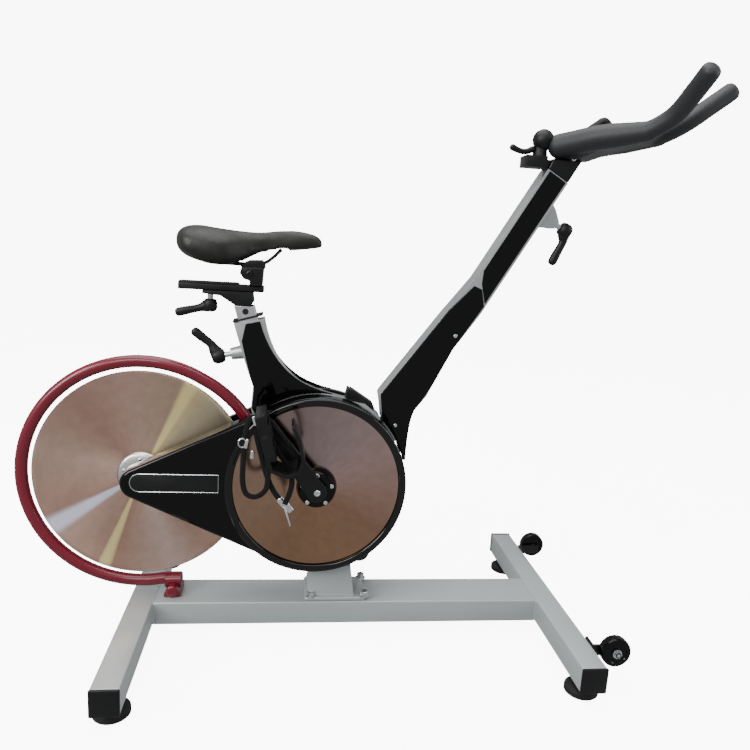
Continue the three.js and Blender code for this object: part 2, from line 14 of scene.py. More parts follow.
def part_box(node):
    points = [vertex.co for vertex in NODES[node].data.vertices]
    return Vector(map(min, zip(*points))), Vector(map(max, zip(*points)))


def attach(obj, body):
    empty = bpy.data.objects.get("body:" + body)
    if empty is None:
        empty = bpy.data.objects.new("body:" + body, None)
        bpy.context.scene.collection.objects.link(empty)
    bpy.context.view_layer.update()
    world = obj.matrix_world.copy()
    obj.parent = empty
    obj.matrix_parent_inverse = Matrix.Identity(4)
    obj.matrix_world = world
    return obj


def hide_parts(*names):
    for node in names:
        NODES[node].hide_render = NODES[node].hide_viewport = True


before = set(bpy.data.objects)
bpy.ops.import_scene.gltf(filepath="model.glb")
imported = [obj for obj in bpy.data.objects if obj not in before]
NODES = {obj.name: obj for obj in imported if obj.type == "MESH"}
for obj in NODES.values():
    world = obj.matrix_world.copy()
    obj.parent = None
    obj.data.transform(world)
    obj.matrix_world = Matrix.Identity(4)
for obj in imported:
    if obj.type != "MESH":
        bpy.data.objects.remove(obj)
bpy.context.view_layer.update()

# %% [markdown]
# Everything is measured from the crank axle, which lies on the bike's middle plane. `at` takes
# millimetres: x forward of the axle, y to the rider's left, z above a floor 365 mm below the axle.

# %% Places
axle_low, axle_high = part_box("crank_axle")
AXLE = (axle_low + axle_high) / 2
AXLE_HEIGHT = 365
FLY_CENTRE = (-357.6, 363)
FLY_RADIUS = 216.7


def at(x, y, z):
    return Vector((AXLE.x + x / 1000, y / 1000, AXLE.z + (z - AXLE_HEIGHT) / 1000))


print("crank axle at", tuple(round(v, 4) for v in AXLE))

# %% [markdown]
# The bike is seen from its right side, a little from behind and above, with a camera that is
# held slightly tilted. The three angles and the focal length are set here.

# %% Camera
LENS_MM = 33.09
YAW, PITCH, ROLL = 0.12902, 0.18933, 0.05918


def camera_axes(yaw, pitch, roll):
    flat = Vector((math.sin(yaw), math.cos(yaw), 0))
    up = Vector((0, 0, 1))
    ahead = flat * math.cos(pitch) - up * math.sin(pitch)
    side = Vector((math.cos(yaw), -math.sin(yaw), 0))
    top = up * math.cos(pitch) + flat * math.sin(pitch)
    right = side * math.cos(roll) + top * math.sin(roll)
    return right, top * math.cos(roll) - side * math.sin(roll), ahead


def link(thing):
    bpy.context.scene.collection.objects.link(thing)
    return thing


lens = bpy.data.cameras.new("camera")
lens.lens = LENS_MM
lens.sensor_width = 36
lens.clip_end = 60
camera = link(bpy.data.objects.new("camera", lens))
right, top, ahead = camera_axes(YAW, PITCH, ROLL)
camera.matrix_world = Matrix((
    (right.x, top.x, -ahead.x, 0), (right.y, top.y, -ahead.y, 0), (right.z, top.z, -ahead.z, 0), (0, 0, 0, 1),
))
camera.location = at(-67.11, -1406.5, 859.57)
bpy.context.scene.camera = camera
print("camera stands at", tuple(round(v, 3) for v in camera.location))

# %% [markdown]
# Colours are written as the hex values a paint chart gives, and one function turns them to the
# linear numbers that shaders want. One more function adds a node with its settings and links,
# so that a finish reads as a short list of steps.

# %% Colour and node helpers
def linear(code):
    channels = [int(code[i:i + 2], 16) / 255 for i in (1, 3, 5)]
    return [c / 12.92 if c < 0.04045 else ((c + 0.055) / 1.055) ** 2.4 for c in channels] + [1]


def add_node(tree, kind, inputs=None, **settings):
    made = tree.nodes.new(kind)
    for key, value in settings.items():
        setattr(made, key, value)
    for socket, value in (inputs or {}).items():
        if isinstance(value, bpy.types.NodeSocket):
            tree.links.new(value, made.inputs[socket])
        else:
            made.inputs[socket].default_value = value
    return made


def new_material(name):
    material = bpy.data.materials.new(name)
    material.use_nodes = True
    tree = material.node_tree
    tree.nodes.clear()
    place = add_node(tree, "ShaderNodeTexCoord").outputs["Object"]
    shader = add_node(tree, "ShaderNodeBsdfPrincipled")
    add_node(tree, "ShaderNodeOutputMaterial", {"Surface": shader.outputs["BSDF"]})
    return material, tree, place, shader


def per_metre(size_mm):
    """The texture scale whose features are about size_mm across."""
    return 1000 / size_mm


# %% [markdown]
# Painted, moulded and dipped surfaces all have the same build-up: a tone that drifts slowly, a
# gloss that varies, and a fine relief left by the spray gun or the mould. The sizes of the
# drift and of the relief are what tells them apart, so one recipe takes them in millimetres.

# %% A recipe for coated surfaces
def coated(name, dark, light, gloss, drift_mm, relief_mm, relief_depth, metal=0.0, coat=0.0, specular=0.5):
    """gloss holds the least and most roughness; relief_depth is in millimetres."""
    material, tree, place, shader = new_material(name)
    drift = add_node(tree, "ShaderNodeTexNoise", {"Vector": place, "Scale": per_metre(drift_mm), "Detail": 4})
    tone = add_node(tree, "ShaderNodeMixRGB", {
        "Fac": drift.outputs["Fac"], "Color1": linear(dark), "Color2": linear(light),
    })
    tree.links.new(tone.outputs["Color"], shader.inputs["Base Color"])
    sheen = add_node(tree, "ShaderNodeMapRange", {
        "Value": drift.outputs["Fac"], "From Min": 0.3, "From Max": 0.7,
        "To Min": gloss[0], "To Max": gloss[1],
    })
    tree.links.new(sheen.outputs["Result"], shader.inputs["Roughness"])
    relief = add_node(tree, "ShaderNodeTexNoise", {
        "Vector": place, "Scale": per_metre(relief_mm), "Detail": 2,
    })
    bump = add_node(tree, "ShaderNodeBump", {
        "Height": relief.outputs["Fac"], "Distance": relief_depth / 1000, "Strength": 1.0,
    })
    tree.links.new(bump.outputs["Normal"], shader.inputs["Normal"])
    shader.inputs["Metallic"].default_value = metal
    shader.inputs["Coat Weight"].default_value = coat
    shader.inputs["Coat Roughness"].default_value = 0.06
    shader.inputs["Specular IOR Level"].default_value = specular
    return material


# Silver powder coat: fine aluminium flake in a satin binder, with a slight orange peel.
SILVER_PAINT = coated("silver_powder_coat", "#9aa09f", "#a9afae", (0.36, 0.46), 160, 2.2, 0.03, metal=0.35)
# Bead-blasted and clear anodised aluminium casting: an even, cool, satin metal.
CAST_ALLOY = coated("anodised_cast_aluminium", "#a6a9aa", "#b9bcbc", (0.3, 0.4), 60, 1.2, 0.02, metal=0.85)
# High-gloss ABS covers: almost black, with a long soft moulding wave.
GLOSS_ABS = coated("gloss_black_abs", "#020203", "#040405", (0.06, 0.1), 220, 45, 0.05, specular=0.22)
# The same ABS polished on the hoop round the guard plate, which catches the lamps.
POLISHED_ABS = coated("polished_black_abs", "#030304", "#050506", (0.04, 0.07), 220, 45, 0.03,
                      coat=0.2, specular=0.3)
# Glass-filled nylon with a spark-eroded mould texture, for levers, clamps and pedals.
SATIN_NYLON = coated("moulded_black_nylon", "#060607", "#0b0b0c", (0.4, 0.52), 40, 0.9, 0.05, specular=0.3)
# Black e-coated steel: satin, harder edged reflections than the nylon.
BLACK_STEEL = coated("black_coated_steel", "#050506", "#09090a", (0.24, 0.34), 60, 1.6, 0.02, specular=0.35)
# Moulded rubber for the levelling feet.
FOOT_RUBBER = coated("moulded_rubber", "#0d0d0d", "#161616", (0.65, 0.8), 30, 1.1, 0.08, specular=0.3)
# Plastisol-dipped bar coating: a dull, very even skin with a faint skin grain.
DIPPED_GRIP = coated("plastisol_dip", "#141517", "#1c1d1f", (0.5, 0.6), 90, 1.8, 0.05)
# Red gloss enamel over steel tube.
RED_ENAMEL = coated("red_gloss_enamel", "#5c0719", "#6a0d22", (0.27, 0.34), 120, 3.0, 0.03,
                    coat=0.2, specular=0.4)
# Bright zinc plate on screws, nuts and axles.
BRIGHT_ZINC = coated("bright_zinc_plate", "#c3c6c8", "#d8dadc", (0.14, 0.24), 12, 0.8, 0.01, metal=1.0)
# Ribbed rubber for the drive belt.
BELT_RUBBER = coated("ribbed_belt_rubber", "#0c0c0c", "#131313", (0.6, 0.75), 20, 1.0, 0.04)
print("coated finishes made:", len(bpy.data.materials))

# %% [markdown]
# The flywheel is a steel disc faced on a lathe and tinted bronze. The tool leaves circular
# grooves about half a millimetre apart. Light catches grooves only where they run across it, so
# a turned face shows bright fans that point at the hub. An anisotropic shader gives the moving
# part of that, its tangent running round the axle. The fixed fans, two yellow and one bluish
# white, are painted highlights: bright sectors painted into the base colour by the angle round
# the axle, among sectors of a bronze tone that drifts round the disc.

# %% Turned disc finish
TURNED_GROOVE_MM = 1.6  # the real 0.5 mm pitch is too fine to show, so it is drawn coarser


def round_axle(tree, place, centre):
    """Position from the axle, its angle in turns, and its distance in metres."""
    middle = at(centre[0], 0, centre[1])
    moved = add_node(tree, "ShaderNodeVectorMath", {0: place, 1: middle}, operation="SUBTRACT")
    parts = add_node(tree, "ShaderNodeSeparateXYZ", {0: moved.outputs[0]})
    angle = add_node(tree, "ShaderNodeMath", {0: parts.outputs["Z"], 1: parts.outputs["X"]},
                     operation="ARCTAN2")
    turns = add_node(tree, "ShaderNodeMath", {0: angle.outputs[0], 1: 1 / (2 * math.pi)},
                     operation="MULTIPLY")
    turns = add_node(tree, "ShaderNodeMath", {0: turns.outputs[0]}, operation="FRACT")
    flat = add_node(tree, "ShaderNodeVectorMath", {0: moved.outputs[0], 1: (1, 0, 1)}, operation="MULTIPLY")
    length = add_node(tree, "ShaderNodeVectorMath", {0: flat.outputs[0]}, operation="LENGTH")
    return flat.outputs[0], turns.outputs[0], length.outputs["Value"]


def turned_metal(name, centre, sectors, groove_depth, roughness, anisotropy):
    material, tree, place, shader = new_material(name)
    flat, turns, radius = round_axle(tree, place, centre)
    # Base colour by the angle round the axle: on the flywheel it holds painted highlight fans, on the guard
    # plate a painted reflection.
    ramp = add_node(tree, "ShaderNodeValToRGB", {"Fac": turns})
    stops = ramp.color_ramp.elements
    stops[0].position, stops[0].color = sectors[0][0], linear(sectors[0][1])
    stops[1].position, stops[1].color = sectors[-1][0], linear(sectors[-1][1])
    for position, code in sectors[1:-1]:
        stops.new(position).color = linear(code)
    streak_place = add_node(tree, "ShaderNodeCombineXYZ", {"X": turns, "Y": radius})
    streaks = add_node(tree, "ShaderNodeTexNoise", {
        "Vector": streak_place.outputs[0], "Scale": 46.0, "Detail": 3,
    })
    tone = add_node(tree, "ShaderNodeMixRGB", {
        "Fac": 0.16, "Color1": ramp.outputs["Color"], "Color2": streaks.outputs["Fac"],
    }, blend_type="OVERLAY")
    groove_count = add_node(tree, "ShaderNodeMath", {0: radius, 1: per_metre(TURNED_GROOVE_MM)},
                            operation="MULTIPLY")
    grooves = add_node(tree, "ShaderNodeTexNoise", {"W": groove_count.outputs[0], "Scale": 1.0, "Detail": 2},
                       noise_dimensions="1D")
    bump = add_node(tree, "ShaderNodeBump", {
        "Height": grooves.outputs["Fac"], "Distance": groove_depth / 1000, "Strength": 1.0,
    })
    along = add_node(tree, "ShaderNodeVectorMath", {0: flat, 1: (0, 1, 0)}, operation="CROSS_PRODUCT")
    unit = add_node(tree, "ShaderNodeVectorMath", {0: along.outputs[0]}, operation="NORMALIZE")
    tangent = add_node(tree, "ShaderNodeVectorTransform", {"Vector": unit.outputs[0]},
                       vector_type="VECTOR", convert_from="OBJECT", convert_to="WORLD")
    tree.links.new(tone.outputs["Color"], shader.inputs["Base Color"])
    tree.links.new(bump.outputs["Normal"], shader.inputs["Normal"])
    tree.links.new(tangent.outputs["Vector"], shader.inputs["Tangent"])
    shader.inputs["Metallic"].default_value = 1.0
    shader.inputs["Roughness"].default_value = roughness
    shader.inputs["Anisotropic"].default_value = anisotropy
    return material


# Bronze tone round the flywheel, and the painted highlights: two yellow fans and one bluish-white fan of lamp
# light on the turned face.
BRONZE, PAINTED_WARM_HIGHLIGHT, PAINTED_COOL_HIGHLIGHT = "#bd9a87", "#ffeaa8", "#f1efff"
FLYWHEEL_TINT_AND_PAINTED_HIGHLIGHTS = [
    (0.0, "#b69a86"), (0.045, "#c6b8a0"), (0.085, "#bcae94"), (0.135, "#c2b497"), (0.160, "#d8c596"),
    (0.167, PAINTED_WARM_HIGHLIGHT), (0.181, PAINTED_WARM_HIGHLIGHT), (0.188, "#b89c88"), (0.21, "#bea28f"), (0.27, "#c7a596"),
    (0.36, "#b48f80"), (0.46, "#c8a999"), (0.572, "#b39080"), (0.582, PAINTED_COOL_HIGHLIGHT), (0.599, PAINTED_COOL_HIGHLIGHT),
    (0.608, "#c6a597"), (0.68, BRONZE), (0.6845, PAINTED_WARM_HIGHLIGHT), (0.697, PAINTED_WARM_HIGHLIGHT), (0.703, "#b8927f"),
    (0.80, "#cdb4a8"), (0.86, "#b39281"), (0.93, "#c0a08c"), (1.0, "#b69a86"),
]
TURNED_BRONZE = turned_metal("turned_bronze_plate", FLY_CENTRE, FLYWHEEL_TINT_AND_PAINTED_HIGHLIGHTS, 0.012, 0.3, 0.75)
# The guard plate is the same metal polished almost to a mirror, with only a trace of grooves.
# The plate's colour round the crank is a painted reflection: lighter and pinker towards the front and top,
# browner towards the bottom.
GUARD_PAINTED_REFLECTION = [
    (0.0, "#a5867a"), (0.08, "#a98e88"), (0.17, "#9f8b88"), (0.3, "#8c7a77"), (0.42, "#957d6b"),
    (0.55, "#987a66"), (0.68, "#8f7059"), (0.78, "#96765c"), (0.9, "#957460"), (1.0, "#a5867a"),
]
MIRROR_BRONZE = turned_metal("polished_bronze_plate", (0, AXLE_HEIGHT), GUARD_PAINTED_REFLECTION, 0.002, 0.16, 0.5)
# Turned bright aluminium for the flywheel's hub.
ALLOY_SECTORS = [(0.0, "#b9babc"), (0.3, "#d6d6d4"), (0.6, "#a8aaae"), (1.0, "#b9babc")]
TURNED_ALLOY = turned_metal("turned_aluminium", FLY_CENTRE, ALLOY_SECTORS, 0.02, 0.26, 0.6)
print("turned finishes use grooves of", TURNED_GROOVE_MM, "mm")

# %% [markdown]
# The saddle cover is matte vinyl with a pebbled print: cells about 1.3 mm across, pressed in by a
# heated roller. A Voronoi texture gives such cells, and a slow noise gives the burnish where a
# rider has rubbed it. The toe straps are woven webbing, which two crossing waves draw.

# %% Vinyl and webbing
def saddle_vinyl():
    material, tree, place, shader = new_material("pebbled_vinyl")
    pebbles = add_node(tree, "ShaderNodeTexVoronoi", {"Vector": place, "Scale": per_metre(1.8)})
    wrinkle = add_node(tree, "ShaderNodeTexNoise", {"Vector": place, "Scale": per_metre(26), "Detail": 5})
    tone = add_node(tree, "ShaderNodeMixRGB", {
        "Fac": wrinkle.outputs["Fac"], "Color1": linear("#0f100e"), "Color2": linear("#1a1b17"),
    })
    gloss = add_node(tree, "ShaderNodeMapRange", {
        "Value": wrinkle.outputs["Fac"], "From Min": 0.3, "From Max": 0.7, "To Min": 0.42, "To Max": 0.56,
    })
    bump = add_node(tree, "ShaderNodeBump", {
        "Height": pebbles.outputs["Distance"], "Distance": 0.00012, "Strength": 1.0,
    })
    tree.links.new(tone.outputs["Color"], shader.inputs["Base Color"])
    tree.links.new(gloss.outputs["Result"], shader.inputs["Roughness"])
    tree.links.new(bump.outputs["Normal"], shader.inputs["Normal"])
    shader.inputs["Specular IOR Level"].default_value = 0.35
    return material


def webbing():
    material, tree, place, shader = new_material("nylon_webbing")
    warp = add_node(tree, "ShaderNodeTexWave", {
        "Vector": place, "Scale": per_metre(2.4) / 6.28, "Distortion": 0.4,
    }, bands_direction="X")
    weft = add_node(tree, "ShaderNodeTexWave", {
        "Vector": place, "Scale": per_metre(2.0) / 6.28, "Distortion": 0.4,
    }, bands_direction="Z")
    weave = add_node(tree, "ShaderNodeMath", {0: warp.outputs["Fac"], 1: weft.outputs["Fac"]},
                     operation="MULTIPLY")
    tone = add_node(tree, "ShaderNodeMixRGB", {
        "Fac": weave.outputs[0], "Color1": linear("#040404"), "Color2": linear("#101011"),
    })
    bump = add_node(tree, "ShaderNodeBump", {"Height": weave.outputs[0], "Distance": 0.0003, "Strength": 1.0})
    tree.links.new(tone.outputs["Color"], shader.inputs["Base Color"])
    tree.links.new(bump.outputs["Normal"], shader.inputs["Normal"])
    shader.inputs["Roughness"].default_value = 0.7
    shader.inputs["Specular IOR Level"].default_value = 0.25
    return material


SADDLE_VINYL = saddle_vinyl()
WEBBING = webbing()
print("soft finishes:", SADDLE_VINYL.name, WEBBING.name)

# %% [markdown]
# Every piece ends the same way: its mesh is shaded smooth apart from edges that are really
# sharp, it gets its finish, it rides on one body of the solid model, and the solid nodes it
# stands for are hidden.

# %% Finishing a piece
def object_of(name, shape):
    """Puts a bmesh into a new object of the scene."""
    mesh = bpy.data.meshes.new(name)
    shape.to_mesh(mesh)
    shape.free()
    return link(bpy.data.objects.new(name, mesh))


def baked(thing):
    """The mesh of an object as its modifiers leave it."""
    graph = bpy.context.evaluated_depsgraph_get()
    return bpy.data.meshes.new_from_object(thing.evaluated_get(graph), depsgraph=graph)


def loft(shape, rings, capped=True):
    """Joins neighbouring rings of points with faces, and closes both ends."""
    count = len(rings[0])
    for low, high in zip(rings, rings[1:]):
        for i in range(count):
            j = (i + 1) % count
            shape.faces.new([low[i], low[j], high[j], high[i]])
    if capped:
        shape.faces.new(rings[0][::-1])
        shape.faces.new(rings[-1])
    return shape


SMOOTH_ANGLE = math.radians(32)
made_pieces = []


def finish_piece(name, shape, material, body, instead_of=(), sharp_above=SMOOTH_ANGLE):
    """shape is a bmesh in row-frame metres."""
    mesh = bpy.data.meshes.new(name)
    bmesh.ops.remove_doubles(shape, verts=shape.verts, dist=1e-6)
    bmesh.ops.recalc_face_normals(shape, faces=shape.faces)
    shape.to_mesh(mesh)
    shape.free()
    for polygon in mesh.polygons:
        polygon.use_smooth = True
    mesh.set_sharp_from_angle(angle=sharp_above)
    mesh.materials.append(material)
    piece = link(bpy.data.objects.new(name, mesh))
    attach(piece, body)
    if instead_of:
        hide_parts(*instead_of)
    made_pieces.append(name)
    return piece


def soften(shape, width_mm, segments=3, above=0.45):
    """Rounds the edges whose faces meet at a real corner."""
    bmesh.ops.remove_doubles(shape, verts=shape.verts, dist=2e-6)
    corners = [e for e in shape.edges if len(e.link_faces) == 2 and e.calc_face_angle(0) > above]
    bmesh.ops.bevel(shape, geom=corners, offset=width_mm / 1000, segments=segments, profile=0.5,
                    affect="EDGES", clamp_overlap=True, material=-1)
    return shape


def from_node(node, width_mm=0.8, segments=2, above=0.6):
    """A copy of a solid node with its flat faces whole again and its corners rounded."""
    shape = bmesh.new()
    shape.from_mesh(NODES[node].data)
    bmesh.ops.remove_doubles(shape, verts=shape.verts, dist=2e-6)
    bmesh.ops.dissolve_limit(shape, angle_limit=0.008, verts=shape.verts, edges=shape.edges)
    if width_mm:
        soften(shape, width_mm, segments, above)
    bmesh.ops.triangulate(shape, faces=[f for f in shape.faces if len(f.verts) > 4])
    return shape


def finish_copy(name, node, rounding, material, body, sharp_above=SMOOTH_ANGLE):
    """Finishes a rounded copy of one solid node; rounding is what from_node takes."""
    return finish_piece(name, from_node(node, *rounding), material, body, [node], sharp_above)


# %% [markdown]
# Three builders make most of the fine shapes: `lathe` spins a profile round an axle, `rod`
# carries a round section along a path with rounded ends, and `plate` gives a side-view outline
# a thickness and a softened edge.

# %% Shape builders
def spin_frame(axis):
    axis = Vector(axis).normalized()
    helper = Vector((0, 0, 1)) if abs(axis.z) < 0.9 else Vector((1, 0, 0))
    first = helper.cross(axis).normalized()
    return axis, first, axis.cross(first)


def lathe(shape, profile, centre, axis=(0, 1, 0), steps=96):
    """profile holds (radius, height) in mm; a radius of 0 closes the shape on the axis."""
    axis, u, v = spin_frame(axis)
    rings = []
    for radius, height in profile:
        middle = centre + axis * height / 1000
        count = 1 if radius == 0 else steps
        ring = []
        for i in range(count):
            a = 2 * math.pi * i / steps
            ring.append(shape.verts.new(middle + (u * math.cos(a) + v * math.sin(a)) * radius / 1000))
        rings.append(ring)
    for low, high in zip(rings, rings[1:]):
        for i in range(steps):
            j = (i + 1) % steps
            corners = [low[i % len(low)], low[j % len(low)], high[j % len(high)], high[i % len(high)]]
            corners = list(dict.fromkeys(corners))
            if len(corners) > 2:
                shape.faces.new(corners)
    return shape


def smooth_path(points, steps):
    """Evenly spread points on a centripetal curve through the given ones."""
    ends = [points[0] * 2 - points[1], *points, points[-1] * 2 - points[-2]]
    path = []
    for p0, p1, p2, p3 in zip(ends, ends[1:], ends[2:], ends[3:]):
        for k in range(steps):
            t = k / steps
            path.append(0.5 * (2 * p1 + (p2 - p0) * t + (2 * p0 - 5 * p1 + 4 * p2 - p3) * t ** 2
                               + (3 * p1 - p0 - 3 * p2 + p3) * t ** 3))
    return [*path, points[-1]]


def rod(shape, path, radii, sides=24, flat=1.0, up=(0, 1, 0), dome=0.6):
    """A section carried along path; radii in mm, flat squeezes it along `up`, dome rounds its ends."""
    radii = [radii] * len(path) if isinstance(radii, (int, float)) else list(radii)
    along = [(b - a).normalized() for a, b in zip(path, path[1:])]
    along = [along[0], *[(a + b).normalized() for a, b in zip(along, along[1:])], along[-1]]
    stations = []
    for k in (3, 2, 1):
        t = math.radians(90 * k / 3.2)
        reach = along[0] * math.sin(t) * radii[0] * dome / 1000
        stations.append((path[0] - reach, along[0], radii[0] * math.cos(t)))
    stations += list(zip(path, along, radii))
    for k in (1, 2, 3):
        t = math.radians(90 * k / 3.2)
        reach = along[-1] * math.sin(t) * radii[-1] * dome / 1000
        stations.append((path[-1] + reach, along[-1], radii[-1] * math.cos(t)))
    rings = []
    for middle, direction, radius in stations:
        v = (Vector(up) - direction * direction.dot(Vector(up))).normalized()
        u = v.cross(direction)
        ring = []
        for i in range(sides):
            a = 2 * math.pi * i / sides
            ring.append(shape.verts.new(middle + (u * math.cos(a) + v * math.sin(a) * flat) * radius / 1000))
        rings.append(ring)
    return loft(shape, rings)


def plate(shape, outline_mm, y0, y1, edge_mm=0.8, segments=3):
    """outline_mm holds (x, z) points of the side view."""
    low = [shape.verts.new(at(x, y0, z)) for x, z in outline_mm]
    high = [shape.verts.new(at(x, y1, z)) for x, z in outline_mm]
    count = len(outline_mm)
    made = [shape.faces.new(low), shape.faces.new(high[::-1])]
    for i in range(count):
        j = (i + 1) % count
        made.append(shape.faces.new([low[j], low[i], high[i], high[j]]))
    if edge_mm:
        rims = list({e for f in made[:2] for e in f.edges})
        bmesh.ops.bevel(shape, geom=rims, offset=edge_mm / 1000, segments=segments, profile=0.5,
                        affect="EDGES", clamp_overlap=True, material=-1)
    return shape


def arc(cx, cz, radius, start, end, steps):
    span = [math.radians(start + (end - start) * i / steps) for i in range(steps + 1)]
    return [(cx + radius * math.cos(a), cz + radius * math.sin(a)) for a in span]


print("builders ready")

# %% [markdown]
# The bike stands on a pale floor that curves up into a pale wall all round, so no horizon line
# shows from any side. The floor glows, as a lit paper sweep does, but it throws no light back on
# the bike: even air light does most of the work, with broad soft lamps above and to the sides
# for shape. Gloss black stays black that way, and silver paint keeps a darker side and a
# brighter top.

# %% Floor, wall and lamps
FLAT_R, BEND_R, WALL_TOP = 6000, 2200, 9000
FLOOR_GLOW = 9.0


def studio():
    bend = [math.radians(9 * i) for i in range(1, 11)]
    profile = [(0, 0), (FLAT_R, 0)]
    profile += [(FLAT_R + BEND_R * math.sin(a), BEND_R - BEND_R * math.cos(a)) for a in bend]
    profile.append((FLAT_R + BEND_R, WALL_TOP))
    floor = object_of("studio_floor", lathe(bmesh.new(), profile, Vector((0, 0, 0)), (0, 0, 1), 96))
    for polygon in floor.data.polygons:
        polygon.use_smooth = True
    material, tree, place, shader = new_material("painted_studio_floor")
    mottle = add_node(tree, "ShaderNodeTexNoise", {"Vector": place, "Scale": per_metre(400), "Detail": 3})
    tone = add_node(tree, "ShaderNodeMixRGB", {
        "Fac": mottle.outputs["Fac"], "Color1": linear("#f4f4f2"), "Color2": linear("#fbfbfa"),
    })
    tree.links.new(tone.outputs["Color"], shader.inputs["Base Color"])
    tree.links.new(tone.outputs["Color"], shader.inputs["Emission Color"])
    shader.inputs["Emission Strength"].default_value = FLOOR_GLOW
    shader.inputs["Roughness"].default_value = 0.9
    shader.inputs["Specular IOR Level"].default_value = 0.0
    floor.data.materials.append(material)
    floor.visible_diffuse = floor.visible_glossy = False


def lamp(name, place, target, size, watts, colour="#ffffff"):
    data = bpy.data.lights.new(name, "AREA")
    data.shape = "RECTANGLE"
    data.size, data.size_y = size
    data.energy = watts
    data.color = linear(colour)[:3]
    thing = link(bpy.data.objects.new(name, data))
    thing.location = place
    thing.rotation_euler = (Vector(target) - Vector(place)).to_track_quat("-Z", "Y").to_euler()
    return thing


studio()
middle = (0, 0, 0.6)
lamp("overhead_softbox", (-0.2, -0.1, 3.4), middle, (3.6, 3.0), 150)
lamp("left_softbox", (-2.9, -1.9, 2.0), middle, (1.2, 1.8), 110)
lamp("front_fill", (-1.5, -3.6, 2.8), middle, (1.6, 1.2), 60)
lamp("right_strip", (3.0, -0.9, 1.6), middle, (0.5, 2.0), 25)

world = bpy.data.worlds.new("studio_air")
bpy.context.scene.world = world
world.use_nodes = True
air = world.node_tree
air.nodes.clear()
backdrop = add_node(air, "ShaderNodeBackground", {"Color": linear("#f2f3f5"), "Strength": 0.6})
add_node(air, "ShaderNodeOutputWorld", {"Surface": backdrop.outputs["Background"]})

# %% [markdown]
# The floor frame is welded square tube. Real tube has corners rounded by the rolling mill and a
# small bead of weld where two tubes meet, so the solid's sharp corners are bevelled by 3 mm and
# beads are run along the joints.

# %% Floor frame
SIDES = {"right": -1, "left": 1}
TUBE_TOP = 100
for tube_name in ("main_beam", "rear_crossbar", "front_crossbar"):
    finish_copy(tube_name + "_tube", tube_name, (3.0, 3), SILVER_PAINT, "frame")
finish_copy("pedestal_casting", "pedestal", (2.6, 3), SILVER_PAINT, "frame")

welds = bmesh.new()
for x in (-327.6, 500.3):
    for sign in SIDES.values():
        upright = [at(x, sign * 50.5, z) for z in (53, 65, 76, 88, 97)]
        rod(welds, upright, 2.6, 10)
    over = [at(x, y, TUBE_TOP - 1.2) for y in (-47, -25, 0, 25, 47)]
    rod(welds, over, 1.7, 10, up=(0, 0, 1))
finish_piece("weld_beads", welds, SILVER_PAINT, "frame")

for end in ("rear", "front"):
    for side in SIDES:
        node = f"cap_{end}_{side}"
        finish_copy(node.replace("cap", "end_plug"), node, (2.4, 3), SATIN_NYLON, "frame")
print("floor frame pieces:", len(made_pieces))

# %% [markdown]
# The levelling feet are rubber pads moulded on threaded stems: a disc with a rounded rim, three
# shallow grip rings and a hexagonal collar for a spanner. The transport wheels are hard glossy
# tyres with a recessed centre and a bright nut. Both are turned shapes, so a profile is spun.

# %% Feet and wheels
FOOT_INSET = 46  # from the end of a crossbar to the middle of its foot
REAR, FRONT = (-352.8, 331 - FOOT_INSET), (525.5, 301 - FOOT_INSET)
FOOT_PROFILE = [
    (0, 20), (29, 20), (31.5, 20.6), (33, 22.2), (33, 24), (32.2, 24.8), (33, 25.6), (33, 28),
    (32.2, 28.8), (33, 29.6), (32.6, 31.6), (30, 34), (25, 37.4), (17, 39.4), (15, 40), (0, 40),
]


def hexagon(shape, centre, axis, radius_mm, low_mm, high_mm, edge_mm=0.5):
    """A hexagonal nut or bolt head with chamfered corners."""
    axis, u, v = spin_frame(axis)
    rings = []
    sizes = ((low_mm, radius_mm), (high_mm - edge_mm, radius_mm), (high_mm, radius_mm - edge_mm * 1.6))
    for height, radius in sizes:
        ring = []
        for i in range(6):
            a = math.radians(60 * i)
            outward = u * math.cos(a) + v * math.sin(a)
            ring.append(shape.verts.new(centre + axis * height / 1000 + outward * radius / 1000))
        rings.append(ring)
    return loft(shape, rings)


for end, (x, y) in (("rear", REAR), ("front", FRONT)):
    for side, sign in SIDES.items():
        foot = lathe(bmesh.new(), FOOT_PROFILE, at(x, sign * y, 0), (0, 0, 1), 64)
        finish_piece(f"levelling_pad_{end}_{side}", foot, FOOT_RUBBER, f"foot_{end}_{side}",
                     [f"foot_{end}_{side}"])
        stem = bmesh.new()
        hexagon(stem, at(x, sign * y, 0), (0, 0, 1), 13, 40.2, 45.5)
        thread = [(0, 45.6), (6.6, 45.6), (6.6, 70), (6.0, 71), (0, 71)]
        lathe(stem, thread, at(x, sign * y, 0), (0, 0, 1), 32)
        finish_piece(f"levelling_stem_{end}_{side}", stem, BRIGHT_ZINC, f"foot_{end}_{side}")

